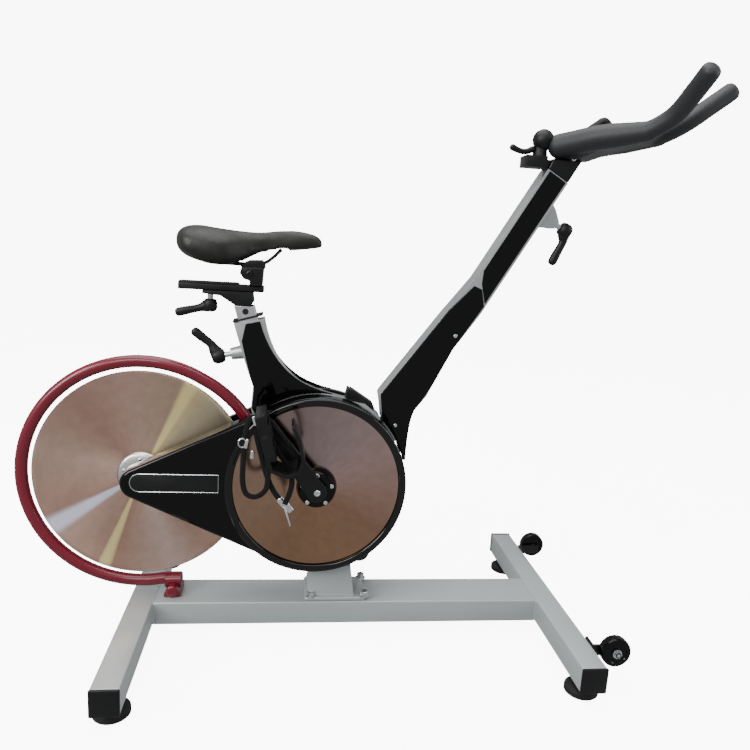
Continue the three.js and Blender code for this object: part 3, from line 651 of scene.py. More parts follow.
WHEEL_X, WHEEL_Z = 592, 98
TYRE_PROFILE = [
    (6.6, 232), (9, 232), (9.5, 233.4), (20, 233.4), (21, 232.2), (26, 232.2), (28.6, 233.2),
    (29.8, 235.4), (30, 238), (30, 248), (29.8, 250.6), (28.6, 252.8), (26, 253.8), (21, 253.8),
    (20, 252.6), (12, 252.6), (11.5, 253.8), (6.6, 253.8), (6.6, 232),
]
wheel_middle = at(WHEEL_X, 0, WHEEL_Z)
washer = [(6.2, 254.2), (9.2, 254.2), (9.2, 255.4), (6.2, 255.4), (6.2, 254.2)]
for side, sign in SIDES.items():
    tyre = lathe(bmesh.new(), TYRE_PROFILE, wheel_middle, (0, sign, 0), 96)
    finish_piece(f"transport_tyre_{side}", tyre, GLOSS_ABS, f"wheel_{side}", [f"wheel_{side}"])
    finish_copy(f"wheel_fork_{side}", f"wheel_bracket_{side}", (1.2,), BLACK_STEEL, "frame")
    nut = bmesh.new()
    lathe(nut, washer, wheel_middle, (0, sign, 0), 40)
    hexagon(nut, wheel_middle, (0, sign, 0), 8.2, 255.5, 260)
    lathe(nut, [(0, 259.8), (4, 259.8), (3.4, 261.0), (0, 261.4)], wheel_middle, (0, sign, 0), 24)
    finish_piece(f"wheel_nut_{side}", nut, BRIGHT_ZINC, "frame")
print("turned profiles:", len(FOOT_PROFILE), "points on a foot,", len(TYRE_PROFILE), "on a tyre")

# %% [markdown]
# The spine and the front post are sand castings with a bright satin skin. Their solids have the
# right outline, so a copy of each gets soft edges. Thin gloss covers lie on both sides of them,
# and a narrow black panel runs up each side of the front post, leaving its edges bright.

# %% Spine, post and flat covers
finish_copy("spine_casting", "frame_spine", (2.2, 3, 0.5), CAST_ALLOY, "frame")
finish_copy("front_post_casting", "front_post", (2.2, 3, 0.5), CAST_ALLOY, "frame")
for side in SIDES:
    finish_copy(f"mast_panel_{side}", f"mast_cover_{side}", (1.3, 3), GLOSS_ABS, "frame")
    finish_copy(f"lower_post_panel_{side}", f"post_cover_{side}", (1.3, 3), GLOSS_ABS, "frame")
    finish_copy(f"fork_plate_steel_{side}", f"fork_plate_{side}", (0.5,), BLACK_STEEL, "frame")

POST_LEAN, POST_FACE = 0.578, 24  # forward run per rise; half the post's width
POST_TOP = (397.3 + POST_LEAN * (1012 - 905), 1012)
POST_TILT = math.atan(POST_LEAN)


def on_post(down, across):
    """A side-view point `down` mm below the post's top and `across` mm forward of its middle."""
    s, c = math.sin(POST_TILT), math.cos(POST_TILT)
    return POST_TOP[0] - down * s + across * c, POST_TOP[1] - down * c - across * s


panel_corners = ((2, -20.5), (2, 20.5), (292, 20.5), (262, -8), (238, -20.5))
panel_outline = [on_post(down, across) for down, across in panel_corners]
for side, sign in SIDES.items():
    y0, y1 = sorted((sign * (POST_FACE + 0.1), sign * (POST_FACE + 1.6)))
    panel = plate(bmesh.new(), panel_outline, y0, y1, 0.5)
    finish_piece(f"upper_post_panel_{side}", panel, GLOSS_ABS, "frame")

pivot_outline = [(54, 541), (58, 561), (70, 557), (112, 530), (118, 516), (96, 520)]
pivot_cap = plate(bmesh.new(), pivot_outline, -15, 15, 1.5)
finish_piece("pivot_cap", pivot_cap, SATIN_NYLON, "frame")
print("front post leans", round(math.degrees(POST_TILT), 1), "degrees forward")

# %% [markdown]
# The drive cover is one moulding: round over the belt wheel, tapering to a round nose at the
# flywheel's axle. Its outline is two circles and their common tangents, so growing or shrinking
# both circles gives the rings of its rounded rim and of its inner wall.

# %% Drive covers
COVER_FACE, COVER_BACK, LEFT_FACE = 66, 28.6, 52
NOSE_R, BELT_ROUND_R, RIM_ROUNDING, COVER_WALL = 32, 184, 9, 3.5


def cover_outline(grow):
    gap = -FLY_CENTRE[0]
    lead = math.degrees(math.acos((NOSE_R - BELT_ROUND_R) / gap))
    slope = math.degrees(math.atan2(AXLE_HEIGHT - FLY_CENTRE[1], gap))
    nose = arc(*FLY_CENTRE, NOSE_R + grow, slope + lead, slope + 360 - lead, 28)
    wheel = arc(0, AXLE_HEIGHT, BELT_ROUND_R + grow, slope - lead, slope + lead, 120)
    return nose + wheel


def cover_shell(face_y, sign):
    """Rings from the open back edge over the rounded rim to the face, and back down inside."""
    rings = [(COVER_BACK, 0), (face_y - RIM_ROUNDING, 0)]
    for k in range(1, 7):
        t = math.radians(15 * k)
        rings.append((face_y - RIM_ROUNDING * (1 - math.sin(t)), -RIM_ROUNDING * (1 - math.cos(t))))
    shape = bmesh.new()
    outer = [[shape.verts.new(at(x, sign * y, z)) for x, z in cover_outline(grow)] for y, grow in rings]
    inner = [[shape.verts.new(at(x, sign * y, z)) for x, z in cover_outline(-COVER_WALL)]
             for y in (face_y - COVER_WALL - 6, COVER_BACK)]
    loops = [inner[0], inner[1], *outer]
    loft(shape, loops, capped=False)
    shape.faces.new(inner[0])
    shape.faces.new(outer[-1])
    bmesh.ops.triangulate(shape, faces=[f for f in shape.faces if len(f.verts) > 4])
    return shape


for node, face_y, sign in (("drive_cover", COVER_FACE, -1), ("left_cover", LEFT_FACE, 1)):
    shell = cover_shell(face_y, sign)
    finish_piece(f"{node}_moulding", shell, GLOSS_ABS, "frame", [node])


def panel_line(inset):
    nose = arc(-350, 367, 19 - inset, 90, 270, 16)
    return [*nose, (-196 - inset, 348 + inset), (-196 - inset, 386 - inset)]


nose_panel = plate(bmesh.new(), panel_line(1.6), -COVER_FACE - 0.6, -COVER_FACE + 0.6, 0.3)
finish_piece("nose_panel", nose_panel, SATIN_NYLON, "frame", ["arm_panel"])
bezel = bmesh.new()
outline = [at(x, -COVER_FACE - 0.2, z) for x, z in panel_line(0.6)]
rod(bezel, [*outline, outline[0]], 0.9, 8, dome=0)
finish_piece("nose_panel_bezel", bezel, BRIGHT_ZINC, "frame")
print("drive cover outline of", len(cover_outline(0)), "points")

# %% [markdown]
# The belt guard is a polished bronze plate held in a gloss black hoop. Both are spun profiles; the
# hoop has a rounded crown so that it carries one long highlight.

# %% Belt guard
GUARD_BACK, PLATE_R = COVER_FACE + 0.3, 169
guard = [
    (24, GUARD_BACK), (PLATE_R, GUARD_BACK), (PLATE_R, GUARD_BACK + 2.4), (PLATE_R - 0.8, GUARD_BACK + 3),
    (30, GUARD_BACK + 3), (26, GUARD_BACK + 2.4), (24, GUARD_BACK + 2.2), (24, GUARD_BACK),
]
crank_middle = at(0, 0, AXLE_HEIGHT)
finish_piece("guard_plate", lathe(bmesh.new(), guard, crank_middle, (0, -1, 0), 200), MIRROR_BRONZE, "frame",
             ["belt_guard_plate"])
hoop = [(169.4, GUARD_BACK), (169.4, GUARD_BACK + 7.5)]
crown = [math.radians(18 * i) for i in range(1, 10)]
hoop += [(176.7 - 7.1 * math.cos(a), GUARD_BACK + 7.5 + 3.3 * math.sin(a)) for a in crown]
hoop += [(184, GUARD_BACK + 6.5), (184, GUARD_BACK), (169.4, GUARD_BACK)]
finish_piece("guard_hoop", lathe(bmesh.new(), hoop, crank_middle, (0, -1, 0), 200), POLISHED_ABS, "frame",
             ["belt_guard_rim"])
print("guard plate across", 2 * PLATE_R, "mm")

# %% [markdown]
# The flywheel is a plain disc with a chamfered rim, a faced band near the edge and a raised boss
# round the hub. Its hub flange is bright turned metal held by five bolts.

# %% Flywheel
fly_middle = at(FLY_CENTRE[0], 0, FLY_CENTRE[1])
half_disc = [(15.2, 4.3), (58, 4.3), (59, 3.9), (206.5, 3.9), (207.5, 4.5), (215.4, 4.5), (FLY_RADIUS, 3.4)]
disc = half_disc + [(r, -h) for r, h in reversed(half_disc)] + [half_disc[0]]
finish_piece("flywheel_disc", lathe(bmesh.new(), disc, fly_middle, steps=256), TURNED_BRONZE, "flywheel",
             ["flywheel"])
hub = [(8.4, -23), (21, -23), (22, -22), (22.6, -19), (24, -16.6), (30, -15.6), (44, -11.6),
       (46.4, -10.4), (48, -8), (48, -4.9), (14.6, -4.9), (14.6, 22.4), (14, 23), (8.4, 23), (8.4, -23)]
finish_piece("flywheel_flange", lathe(bmesh.new(), hub, fly_middle), TURNED_ALLOY, "flywheel",
             ["flywheel_hub"])
for node in ("flywheel_axle", "small_pulley"):
    finish_copy(node + "_part", node, (0.4, 1), BRIGHT_ZINC, "flywheel")
print("flywheel across", 2 * FLY_RADIUS, "mm")

# %% [markdown]
# The ring guard is one steel tube bent round the flywheel. Geometry Nodes suit it: a line of
# points becomes a curve, and a round section is swept along it. The tube's radius, the number of
# its sides and its finish are named inputs of the tree.

# %% A swept tube from Geometry Nodes
def new_tree(name, inputs):
    tree = bpy.data.node_groups.new(name, "GeometryNodeTree")
    tree.interface.new_socket("Geometry", in_out="INPUT", socket_type="NodeSocketGeometry")
    for label, kind, value in inputs:
        socket = tree.interface.new_socket(label, in_out="INPUT", socket_type=kind)
        if value is not None:
            socket.default_value = value
    tree.interface.new_socket("Geometry", in_out="OUTPUT", socket_type="NodeSocketGeometry")
    return tree, add_node(tree, "NodeGroupInput")


def swept_tube_tree():
    tree, given = new_tree("swept_tube", [
        ("Tube radius", "NodeSocketFloat", 0.0125), ("Sides", "NodeSocketInt", 32),
        ("Finish", "NodeSocketMaterial", None),
    ])
    curve = add_node(tree, "GeometryNodeMeshToCurve", {"Mesh": given.outputs["Geometry"]})
    section = add_node(tree, "GeometryNodeCurvePrimitiveCircle", {
        "Resolution": given.outputs["Sides"], "Radius": given.outputs["Tube radius"],
    })
    swept = add_node(tree, "GeometryNodeCurveToMesh", {
        "Curve": curve.outputs["Curve"], "Profile Curve": section.outputs["Curve"], "Fill Caps": True,
    })
    real = add_node(tree, "GeometryNodeRealizeInstances", {"Geometry": swept.outputs["Mesh"]})
    painted = add_node(tree, "GeometryNodeSetMaterial", {
        "Geometry": real.outputs["Geometry"], "Material": given.outputs["Finish"],
    })
    add_node(tree, "NodeGroupOutput", {"Geometry": painted.outputs["Geometry"]})
    return tree


def grown(tree, seed, values):
    """Runs a tree on a seed bmesh and returns the result as a new bmesh."""
    carrier = object_of("seed", seed)
    modifier = carrier.modifiers.new("nodes", "NODES")
    modifier.node_group = tree
    for item in tree.interface.items_tree:
        if item.item_type == "SOCKET" and item.in_out == "INPUT" and item.name in values:
            modifier[item.identifier] = values[item.name]
    result = baked(carrier)
    shape = bmesh.new()
    shape.from_mesh(result)
    bpy.data.objects.remove(carrier)
    bpy.data.meshes.remove(result)
    return shape


def line_seed(path):
    seed = bmesh.new()
    verts = [seed.verts.new(p) for p in path]
    for a, b in zip(verts, verts[1:]):
        seed.edges.new((a, b))
    return seed


SWEPT_TUBE = swept_tube_tree()
RING_R, RING_TUBE_R, RING_FLARE = 236.8, 12.5, 9
ring_path = []
for step in range(130):
    degrees = 26 + 2 * step
    r = RING_R + RING_FLARE * max(0, 60 - degrees) / 36
    a = math.radians(degrees)
    x, z = FLY_CENTRE[0] + r * math.cos(a), FLY_CENTRE[1] + r * math.sin(a)
    if x > -138 and z > 400 or x > -316 and z < 200:
        continue
    ring_path.append(at(x, 0, z))
ring_path.append(at(-306, 0, FLY_CENTRE[1] - math.sqrt(RING_R ** 2 - (FLY_CENTRE[0] + 312.8) ** 2)))
ring_sizes = {"Tube radius": RING_TUBE_R / 1000, "Sides": 40, "Finish": RED_ENAMEL}
ring = grown(SWEPT_TUBE, line_seed(ring_path), ring_sizes)
finish_piece("ring_guard_tube", ring, RED_ENAMEL, "frame", ["ring_guard"])

clamp = bmesh.new()
rod(clamp, [at(-309, 0, 126.5), at(-300, 0, 126.8), at(-285, 0, 127), at(-277, 0, 127)], 16.6, 40, dome=0.18)
rod(clamp, [at(-292, 0, 112), at(-292, 0, 118), at(-292, 0, 126)], 16, 40, up=(0, 1, 0), dome=0.05)
plate(clamp, [(-309, 101), (-309, 107), (-304, 116), (-280, 116), (-275, 107), (-275, 101)], -30, 30, 2)
rod(clamp, [at(-292, -32, 114), at(-292, -26, 114), at(-292, -8, 114)], 12.6, 36, up=(0, 0, 1), dome=0.25)
finish_piece("ring_foot_clamp", clamp, RED_ENAMEL, "frame", ["ring_bracket"])
print("ring guard of", len(ring_path), "points, tube", 2 * RING_TUBE_R, "mm")

# %% [markdown]
# The drive inside the covers is seldom seen: a ribbed belt over two pulleys, and a magnet fork
# that slides over the flywheel's rim. The cranks are forged arms with rounded edges.

# %% Drive, cranks and hub cap
for node, material, body, slot in (
    ("drive_pulley", BLACK_STEEL, "crankset", "bright_steel"),
    ("crank_axle", BRIGHT_ZINC, "crankset", "bright_steel"),
    ("belt", BELT_RUBBER, "frame", "black_rubber"),
    ("magnet_carriage", BLACK_STEEL, "magnet_carriage", "bright_steel"),
):
    finish_copy(node + "_part", node, (0.4, 1), material, body)

CRANK_ANGLE, CRANK_LENGTH = math.radians(126.6), 170
bolt_head = [(0, 106.1), (6.4, 106.1), (6.4, 107.6), (5.6, 108.4), (3.2, 108.4), (2.8, 107.2), (0, 107.2)]
pedal_at = {}
for side, sign in SIDES.items():
    turn = CRANK_ANGLE if sign < 0 else CRANK_ANGLE + math.pi
    px, pz = CRANK_LENGTH * math.cos(turn), AXLE_HEIGHT + CRANK_LENGTH * math.sin(turn)
    pedal_at[side] = (px, pz)
    finish_copy(f"crank_arm_{side}", f"crank_{side}", (3.2, 3, 0.7), BLACK_STEEL, "crankset")
    bolt = lathe(bmesh.new(), bolt_head, crank_middle, (0, sign, 0), 40)
    finish_piece(f"crank_bolt_{side}", bolt, BRIGHT_ZINC, "crankset")

cap = [(11.5, GUARD_BACK + 3.5), (40.6, GUARD_BACK + 3.5), (41, GUARD_BACK + 4.4), (39.8, 76), (37, 88),
       (35.6, 89.6), (33, 90.2), (13, 91.2), (11.5, 90.8), (11.5, GUARD_BACK + 3.5)]
finish_piece("hub_cap", lathe(bmesh.new(), cap, crank_middle, (0, -1, 0), 96), GLOSS_ABS, "crankset",
             ["hub_cover"])
print("pedals at", {k: (round(a), round(b)) for k, (a, b) in pedal_at.items()})

# %% [markdown]
# The pedals are moulded cages with steel side plates. A toe cage stands on the front of each, and
# a webbing strap runs through it, its loose loops hanging down with a bright buckle on the end.
# The loops are modelled directly, as a flat section carried along a path.

# %% Pedals, toe cages and straps
PEDAL_LEAN = math.radians(74)


def on_pedal(side, forward, above, y):
    """A point in the pedal's own side view, turned as the pedal stands."""
    px, pz = pedal_at[side]
    c, s = math.cos(PEDAL_LEAN), math.sin(PEDAL_LEAN)
    return at(px + forward * c + above * s, y, pz - forward * s + above * c)


def strap(shape, points):
    return rod(shape, smooth_path(points, 8), 5.2, 16, flat=0.17, dome=0.05)


def hang(side, dx, dz, y):
    """A point hanging from a pedal's middle; the two sides hang as mirror images."""
    px, pz = pedal_at[side]
    return at(px - SIDES[side] * dx, SIDES[side] * y, pz + dz)


# Each run of strap: how far out it hangs, then its points below the pedal's middle.
STRAP_RUNS = [
    (150, [(-12, 20), (-30, 26), (-40, -12), (-42, -60), (-42, -98), (-35, -122), (-17, -128), (1, -114),
           (5, -86), (4, -56), (-6, -16), (-2, 12)]),
    (157, [(-9, 16), (4, -12), (22, -36), (42, -66), (50, -92), (47, -116), (38, -140)]),
    (144, [(-22, 4), (-10, -44), (4, -92), (16, -118), (28, -135)]),
]


def ribbon(shape, points, half_width_mm, half_thick_mm, steps=8):
    """A flat strip whose width lies along the bike's y direction."""
    path = smooth_path(points, steps)
    along = [(b - a).normalized() for a, b in zip(path, path[1:])]
    along = [along[0], *[(a + b).normalized() for a, b in zip(along, along[1:])], along[-1]]
    wide = Vector((0, 1, 0))
    corners = [(-1, -0.6), (-0.92, -1), (0.92, -1), (1, -0.6), (1, 0.6), (0.92, 1), (-0.92, 1), (-1, 0.6)]
    rings = []
    for middle, direction in zip(path, along):
        thin = direction.cross(wide).normalized()
        rings.append([
            shape.verts.new(middle + wide * w * half_width_mm / 1000 + thin * t * half_thick_mm / 1000)
            for w, t in corners
        ])
    return loft(shape, rings)


for side, sign in SIDES.items():
    body = f"pedal_{side}"
    finish_copy(f"pedal_cage_{side}", f"pedal_{side}", (1.2, 2), SATIN_NYLON, body)
    finish_copy(f"toe_clip_{side}", f"toe_cage_{side}", (1.4, 2), BLACK_STEEL, body)
    plates = bmesh.new()
    for y in (sign * 115.2, sign * 200.8):
        edge = [on_pedal(side, f, 0, y) for f in (-40, -20, 10, 36)]
        ribbon(plates, edge, 0.7, 9.6, 3)
    finish_piece(f"pedal_side_plates_{side}", plates, BLACK_STEEL, body)
    slings = bmesh.new()
    for y, drop in STRAP_RUNS:
        strap(slings, [hang(side, dx, dz, y) for dx, dz in drop])
    finish_piece(f"toe_straps_{side}", slings, WEBBING, body)
    metal = bmesh.new()
    tongue = [hang(side, dx, dz, 144) for dx, dz in ((27, -134), (39, -147), (51, -159))]
    rod(metal, tongue, [6.5, 7.5, 6], 24, flat=0.3, dome=0.1)
    pull = [hang(side, dx, dz, 146) for dx, dz in ((38, -151), (45, -172), (50, -188))]
    rod(metal, pull, [2.2, 2.0, 1.4], 12)
    keepers = ((-24, 30, -20, 16), (-34, -14, -38, -28), (-24, -36, -26, -48), (-14, 10, -10, -4))
    for dx, dz, ex, ez in keepers:
        rod(metal, [hang(side, dx, dz, 160), hang(side, ex, ez, 160)], 3.6, 16, flat=0.5, dome=0.6)
    turns = [math.radians(30 * k) for k in range(12)]
    eye = [hang(side, -44 + 7.5 * math.cos(a), -22 + 8.5 * math.sin(a), 152) for a in turns]
    rod(metal, eye + eye[:1], 1.5, 10, dome=0)
    finish_piece(f"strap_buckle_{side}", metal, BRIGHT_ZINC, body)
print("pedal pieces made; pieces so far:", len(made_pieces))

# %% [markdown]
# The seat post is a bright square tube with one dark index plug. On its head a cast carrier
# holds a dovetail slide, and the saddle's rail clamp rides on that. The rails are bent wire, and
# their solid is already round, so it is copied without more rounding.

# %% Seat post, slide, clamp and rails
finish_copy("seat_post_tube", "seat_post", (3.0, 3), BRIGHT_ZINC, "seat_post")
finish_copy("saddle_carrier_casting", "saddle_carrier", (2.0, 3), SATIN_NYLON, "seat_post")
finish_copy("saddle_slide_bar", "saddle_slide", (2.0, 3), SATIN_NYLON, "saddle")
finish_copy("saddle_clamp_casting", "saddle_clamp", (1.6, 3), BLACK_STEEL, "saddle")
finish_copy("saddle_rail_wires", "saddle_rails", (0,), BLACK_STEEL, "saddle", math.radians(60))

cap_strip = bmesh.new()
plate(cap_strip, [(-285, 761), (-284, 765.6), (-170, 765.6), (-167, 761)], -16.5, 16.5, 1)
finish_piece("slide_cap_strip", cap_strip, SATIN_NYLON, "saddle")
yoke = bmesh.new()
plate(yoke, [(-163, 796), (-118, 796), (-117, 806), (-124, 812.5), (-150, 811), (-164, 803)], -25.5, 25.5, 2)
finish_piece("rail_yoke", yoke, BLACK_STEEL, "saddle")
POST_AXIS, POST_FRONT = (-0.2785, 0.9604), (0.9604, 0.2785)


def on_mast(up, ahead):
    """A side-view point measured from the mast's mouth, along the seat post and forward of it."""
    return (-149 + POST_AXIS[0] * up + POST_FRONT[0] * ahead, 695 + POST_AXIS[1] * up + POST_FRONT[1] * ahead)


collar = bmesh.new()
# Each side of the collar: its back and front edges, then its two faces across the bike.
COLLAR_SIDES = ((-29, -19.8, -23, 23), (19.8, 31, -23, 23), (-29, 31, -23.4, -19.8), (-29, 31, 19.8, 23.4))
for back, front, y0, y1 in COLLAR_SIDES:
    strip = [on_mast(0.6, back), on_mast(0.6, front), on_mast(4.6, front), on_mast(4.6, back)]
    plate(collar, strip, y0, y1, 1)
finish_piece("mast_collar", collar, FOOT_RUBBER, "frame")
plug_x, plug_z = on_mast(16, 0)
plug_profile = [(0, 19.0), (6.2, 19.0), (6.2, 19.5), (5.2, 19.6), (0, 19.6)]
plug = lathe(bmesh.new(), plug_profile, at(plug_x, 0, plug_z), (0, -1, 0), 32)
finish_piece("seat_post_index_plug", plug, FOOT_RUBBER, "seat_post")

# %% [markdown]
# Clamp levers lock the posts: a threaded stud, a round hub and a moulded handle with a bend near
# the hub. Each handle is thick at the hub, slim at the neck and full again at its tip.

# %% Levers
def lever(name, node, foot, hub, bend, tip, hub_r=15.5, tip_r=9.6):
    """The node and the body it rides on share a name; foot, hub, bend and tip are places."""
    foot, hub, bend, tip = (at(*p) for p in (foot, hub, bend, tip))
    along = (hub - foot).normalized()
    stud = bmesh.new()
    rod(stud, [foot, foot.lerp(hub, 0.5), hub], 5.6, 24, up=(0, 1, 0), dome=0)
    for k in range(6):
        middle = foot.lerp(hub, 0.12 + 0.1 * k)
        lathe(stud, [(5.0, -0.7), (6.2, -0.2), (6.2, 0.2), (5.0, 0.7)], middle, along, 24)
    finish_piece(f"{name}_stud", stud, BRIGHT_ZINC, node)
    grip = bmesh.new()
    rod(grip, [hub - along * 0.010, hub - along * 0.004, hub + along * 0.006, hub + along * 0.011],
        [hub_r * 0.86, hub_r, hub_r, hub_r * 0.8], 36, up=(0, 1, 0), dome=0.25)
    path = smooth_path([hub, hub.lerp(bend, 0.55), bend, bend.lerp(tip, 0.5), tip], 7)
    count = len(path) - 1
    radii = []
    for k in range(count + 1):
        t = k / count
        swell = 0.86 + 0.14 * math.cos(7 * (t - 0.9))
        radii.append(hub_r * 0.78 * (1 - t) ** 2 + tip_r * swell * t ** 0.35)
    rod(grip, path, radii, 28, flat=0.82, dome=0.8)
    finish_piece(f"{name}_handle", grip, SATIN_NYLON, node, [node])


lever("seat_lock", "seat_lever", (-160, 0, 626), (-206, 0, 616), (-222, 0, 640), (-253, 0, 664))
lever("bar_lock", "bar_lever", (457, 0, 925), (494, 0, 907), (492, 0, 882), (474, 0, 842))
lever("slide_lock", "slide_lever", (-224, 0, 744), (-224, 0, 719), (-246, 0, 712), (-286, 0, 702), 14, 9.0)
print("levers made")

# %% [markdown]
# The handlebar is one welded bar dipped in soft vinyl: a flat neck, two wings and two horns. Its
# tubes are joined and remeshed into one skin, then relaxed, so the joints flow into each other as
# a dipped coat does.

# %% Handlebar
BAR_PIVOT, BAR_TURN = (492, 1082), math.radians(-44)


def on_bar(x, y, z):
    c, s = math.cos(BAR_TURN), math.sin(BAR_TURN)
    return at(BAR_PIVOT[0] + x * c - y * s, x * s + y * c, BAR_PIVOT[1] + z)


def relax(shape, rounds):
    for _ in range(rounds):
        bmesh.ops.smooth_vert(shape, verts=shape.verts, factor=0.5, use_axis_x=True, use_axis_y=True,
                              use_axis_z=True)
    return shape


def remeshed(shape, size_mm, rounds):
    carrier = object_of("joined", shape)
    modifier = carrier.modifiers.new("skin", "REMESH")
    modifier.mode = "VOXEL"
    modifier.voxel_size = size_mm / 1000
    result = baked(carrier)
    whole = bmesh.new()
    whole.from_mesh(result)
    bpy.data.objects.remove(carrier)
    bpy.data.meshes.remove(result)
    return relax(whole, rounds)


bar = bmesh.new()
for y in (-1, 1):
    wing = smooth_path([on_bar(-18, 36 * y, -12), on_bar(20, 36 * y, -6), on_bar(62, 36 * y, 1),
                        on_bar(108, 34 * y, 5), on_bar(160, 32 * y, 10)], 6)
    last = len(wing) - 1
    taper = [23.8 - 5.5 * max(0, k / last - 0.66) / 0.34 for k in range(last + 1)]
    rod(bar, wing, taper, 36, up=(0, 0, 1), dome=0.75)
    horn = smooth_path([on_bar(145, 33 * y, 6), on_bar(177, 35 * y, 19), on_bar(206, 42 * y, 37),
                        on_bar(236, 63 * y, 66), on_bar(265.4, 87 * y, 95.8)], 7)
    rod(bar, horn, [17.6] * (len(horn) - 1) + [17], 32, up=(0, 0, 1), dome=0.45)
neck = [(-25, -36), (23, -36), (69, -21), (149, -8), (168, 6), (158, 29), (103, 23), (40, 11), (-25, 2)]
low = [bar.verts.new(on_bar(x, -29, z)) for x, z in neck]
high = [bar.verts.new(on_bar(x, 29, z)) for x, z in neck]
bar.faces.new(low)
bar.faces.new(high[::-1])
for i in range(len(neck)):
    j = (i + 1) % len(neck)
    bar.faces.new([low[j], low[i], high[i], high[j]])
bar = remeshed(bar, 3.0, 3)
finish_piece("handlebar_dipped", bar, DIPPED_GRIP, "handlebar", ["handlebar"], math.radians(70))
hook_path = smooth_path([at(512, -30, 1102), at(525, -34, 1112), at(536, -38, 1119), at(548, -40, 1108)], 5)
hook = rod(bmesh.new(), hook_path, 9.2, 20, dome=0.7)
finish_piece("bar_centre_hook", hook, SATIN_NYLON, "handlebar")

# %% [markdown]
# The bar post is a square tube with a dark coat. Behind the bar sits the resistance knob: a round
# head on a short column, with a plastic box and a small lever.

# %% Bar post and resistance control
finish_copy("bar_post_tube", "bar_post", (3.0, 3), BLACK_STEEL, "bar_post")
finish_copy("shifter_head", "shifter_housing", (0.8, 2), SATIN_NYLON, "bar_post")
gusset = bmesh.new()
plate(gusset, [(428, 1030), (452, 1018), (470, 1024), (466, 1043), (430, 1043.5)], -15, 15, 2)
finish_piece("shifter_gusset", gusset, SATIN_NYLON, "bar_post")
knob = bmesh.new()
path = smooth_path([at(406, -8, 1062), at(391, -10, 1056), at(376, -12.5, 1057), at(362, -14, 1062)], 6)
rod(knob, path, [6.4 - 0.8 * math.sin(math.pi * k / (len(path) - 1)) for k in range(len(path))], 24, dome=0.9)
finish_piece("shifter_paddle", knob, SATIN_NYLON, "shifter_lever", ["shifter_lever"])

# %% [markdown]
# The saddle is foam under stretched vinyl, so it gets its own pass. A loft gives the foam's form:
# broad and deep at the back, waisted, then a narrow nose, with a shallow channel along the top.
# The hollow underneath is cut out, the skin is remeshed evenly, and a cloth simulation with a
# little pressure swells it. How far a point may move is capped, most tightly underneath, where a
# stiff base holds the foam.

# %% Saddle
SADDLE_SIDES, SWELL_FRAMES = 72, 20
# Each station: its place along the bike, the top, the bottom and the half width.
SADDLE_STATIONS = [
    (-288, 850, 838, 20), (-285, 860, 828, 40), (-279, 866, 820, 54), (-270, 870.4, 813.5, 66),
    (-257, 872.4, 807.5, 72.5), (-240, 871.8, 802, 75.5), (-220, 869.6, 799, 76), (-200, 867.4, 798, 73),
    (-185, 866.2, 799.4, 67), (-170, 865.4, 804.4, 57.5), (-155, 865, 812.3, 46), (-140, 865, 820.3, 36),
    (-125, 865.4, 825.3, 29), (-105, 867.4, 829.3, 24), (-85, 869.4, 832.4, 21.5), (-65, 870.8, 835, 20),
    (-45, 871, 837.4, 19.4), (-28, 869.2, 839.4, 18.2), (-15, 865.2, 841.2, 15.6), (-8, 860, 842.4, 12),
    (-4, 854, 843.6, 7.5),
]


def saddle_form():
    shape = bmesh.new()
    rings = []
    for x, top, bottom, wide in SADDLE_STATIONS:
        widest = bottom + 0.42 * (top - bottom)
        ring = []
        for i in range(SADDLE_SIDES):
            a = 2 * math.pi * i / SADDLE_SIDES
            c, s = math.cos(a), math.sin(a)
            y = wide * math.copysign(abs(c) ** 0.86, c)
            if s > 0:
                channel = 3.2 * math.exp(-(y / 9) ** 2) * max(0, min(1, (x + 262) / 40, (-92 - x) / 40))
                z = widest + (top - widest) * s ** 0.84 - channel * s
            else:
                z = widest - (widest - bottom) * abs(s) ** 0.62
            ring.append(shape.verts.new(at(x, y, z)))
        rings.append(ring)
    loft(shape, rings)
    bmesh.ops.recalc_face_normals(shape, faces=shape.faces)
    return shape


def stuffed(shape, hollows, voxel_mm, pressure, cap_of):
    """Cuts the hollows, remeshes, swells the skin by cloth pressure and caps how far each point moves."""
    foam = object_of("foam", shape)
    cutters = []
    for hollow in hollows:
        cutter = object_of("hollow", hollow)
        cut = foam.modifiers.new("cut", "BOOLEAN")
        cut.object = cutter
        cut.operation = "DIFFERENCE"
        cut.solver = "EXACT"
        cutters.append(cutter)
    skin = foam.modifiers.new("skin", "REMESH")
    skin.mode = "VOXEL"
    skin.voxel_size = voxel_mm / 1000
    ease = foam.modifiers.new("ease", "SMOOTH")
    ease.factor, ease.iterations = 0.5, 4
    even = baked(foam)
    for thing in (foam, *cutters):
        bpy.data.objects.remove(thing)
    points = [v.co.copy() for v in even.vertices]
    facing = [v.normal.copy() for v in even.vertices]
    pad = link(bpy.data.objects.new("pad", even))
    cloth = pad.modifiers.new("swell", "CLOTH")
    cloth.settings.use_pressure = True
    cloth.settings.uniform_pressure_force = pressure
    cloth.settings.effector_weights.gravity = 0
    cloth.settings.tension_stiffness = 12
    cloth.settings.quality = 5
    cloth.collision_settings.use_collision = False
    cloth.point_cache.frame_start, cloth.point_cache.frame_end = 1, SWELL_FRAMES
    scene = bpy.context.scene
    for number in range(1, SWELL_FRAMES + 1):
        scene.frame_set(number)
    graph = bpy.context.evaluated_depsgraph_get()
    swollen = pad.evaluated_get(graph).to_mesh()
    for i, vertex in enumerate(swollen.vertices):
        move = vertex.co - points[i]
        cap = cap_of(points[i], facing[i]) / 1000
        points[i] = points[i] + (move.normalized() * min(move.length, cap) if move.length > 0 else move)
    bpy.data.objects.remove(pad)
    scene.frame_set(1)
    whole = bmesh.new()
    whole.from_mesh(even)
    whole.verts.ensure_lookup_table()
    for i, point in enumerate(points):
        whole.verts[i].co = point
    return relax(whole, 2)


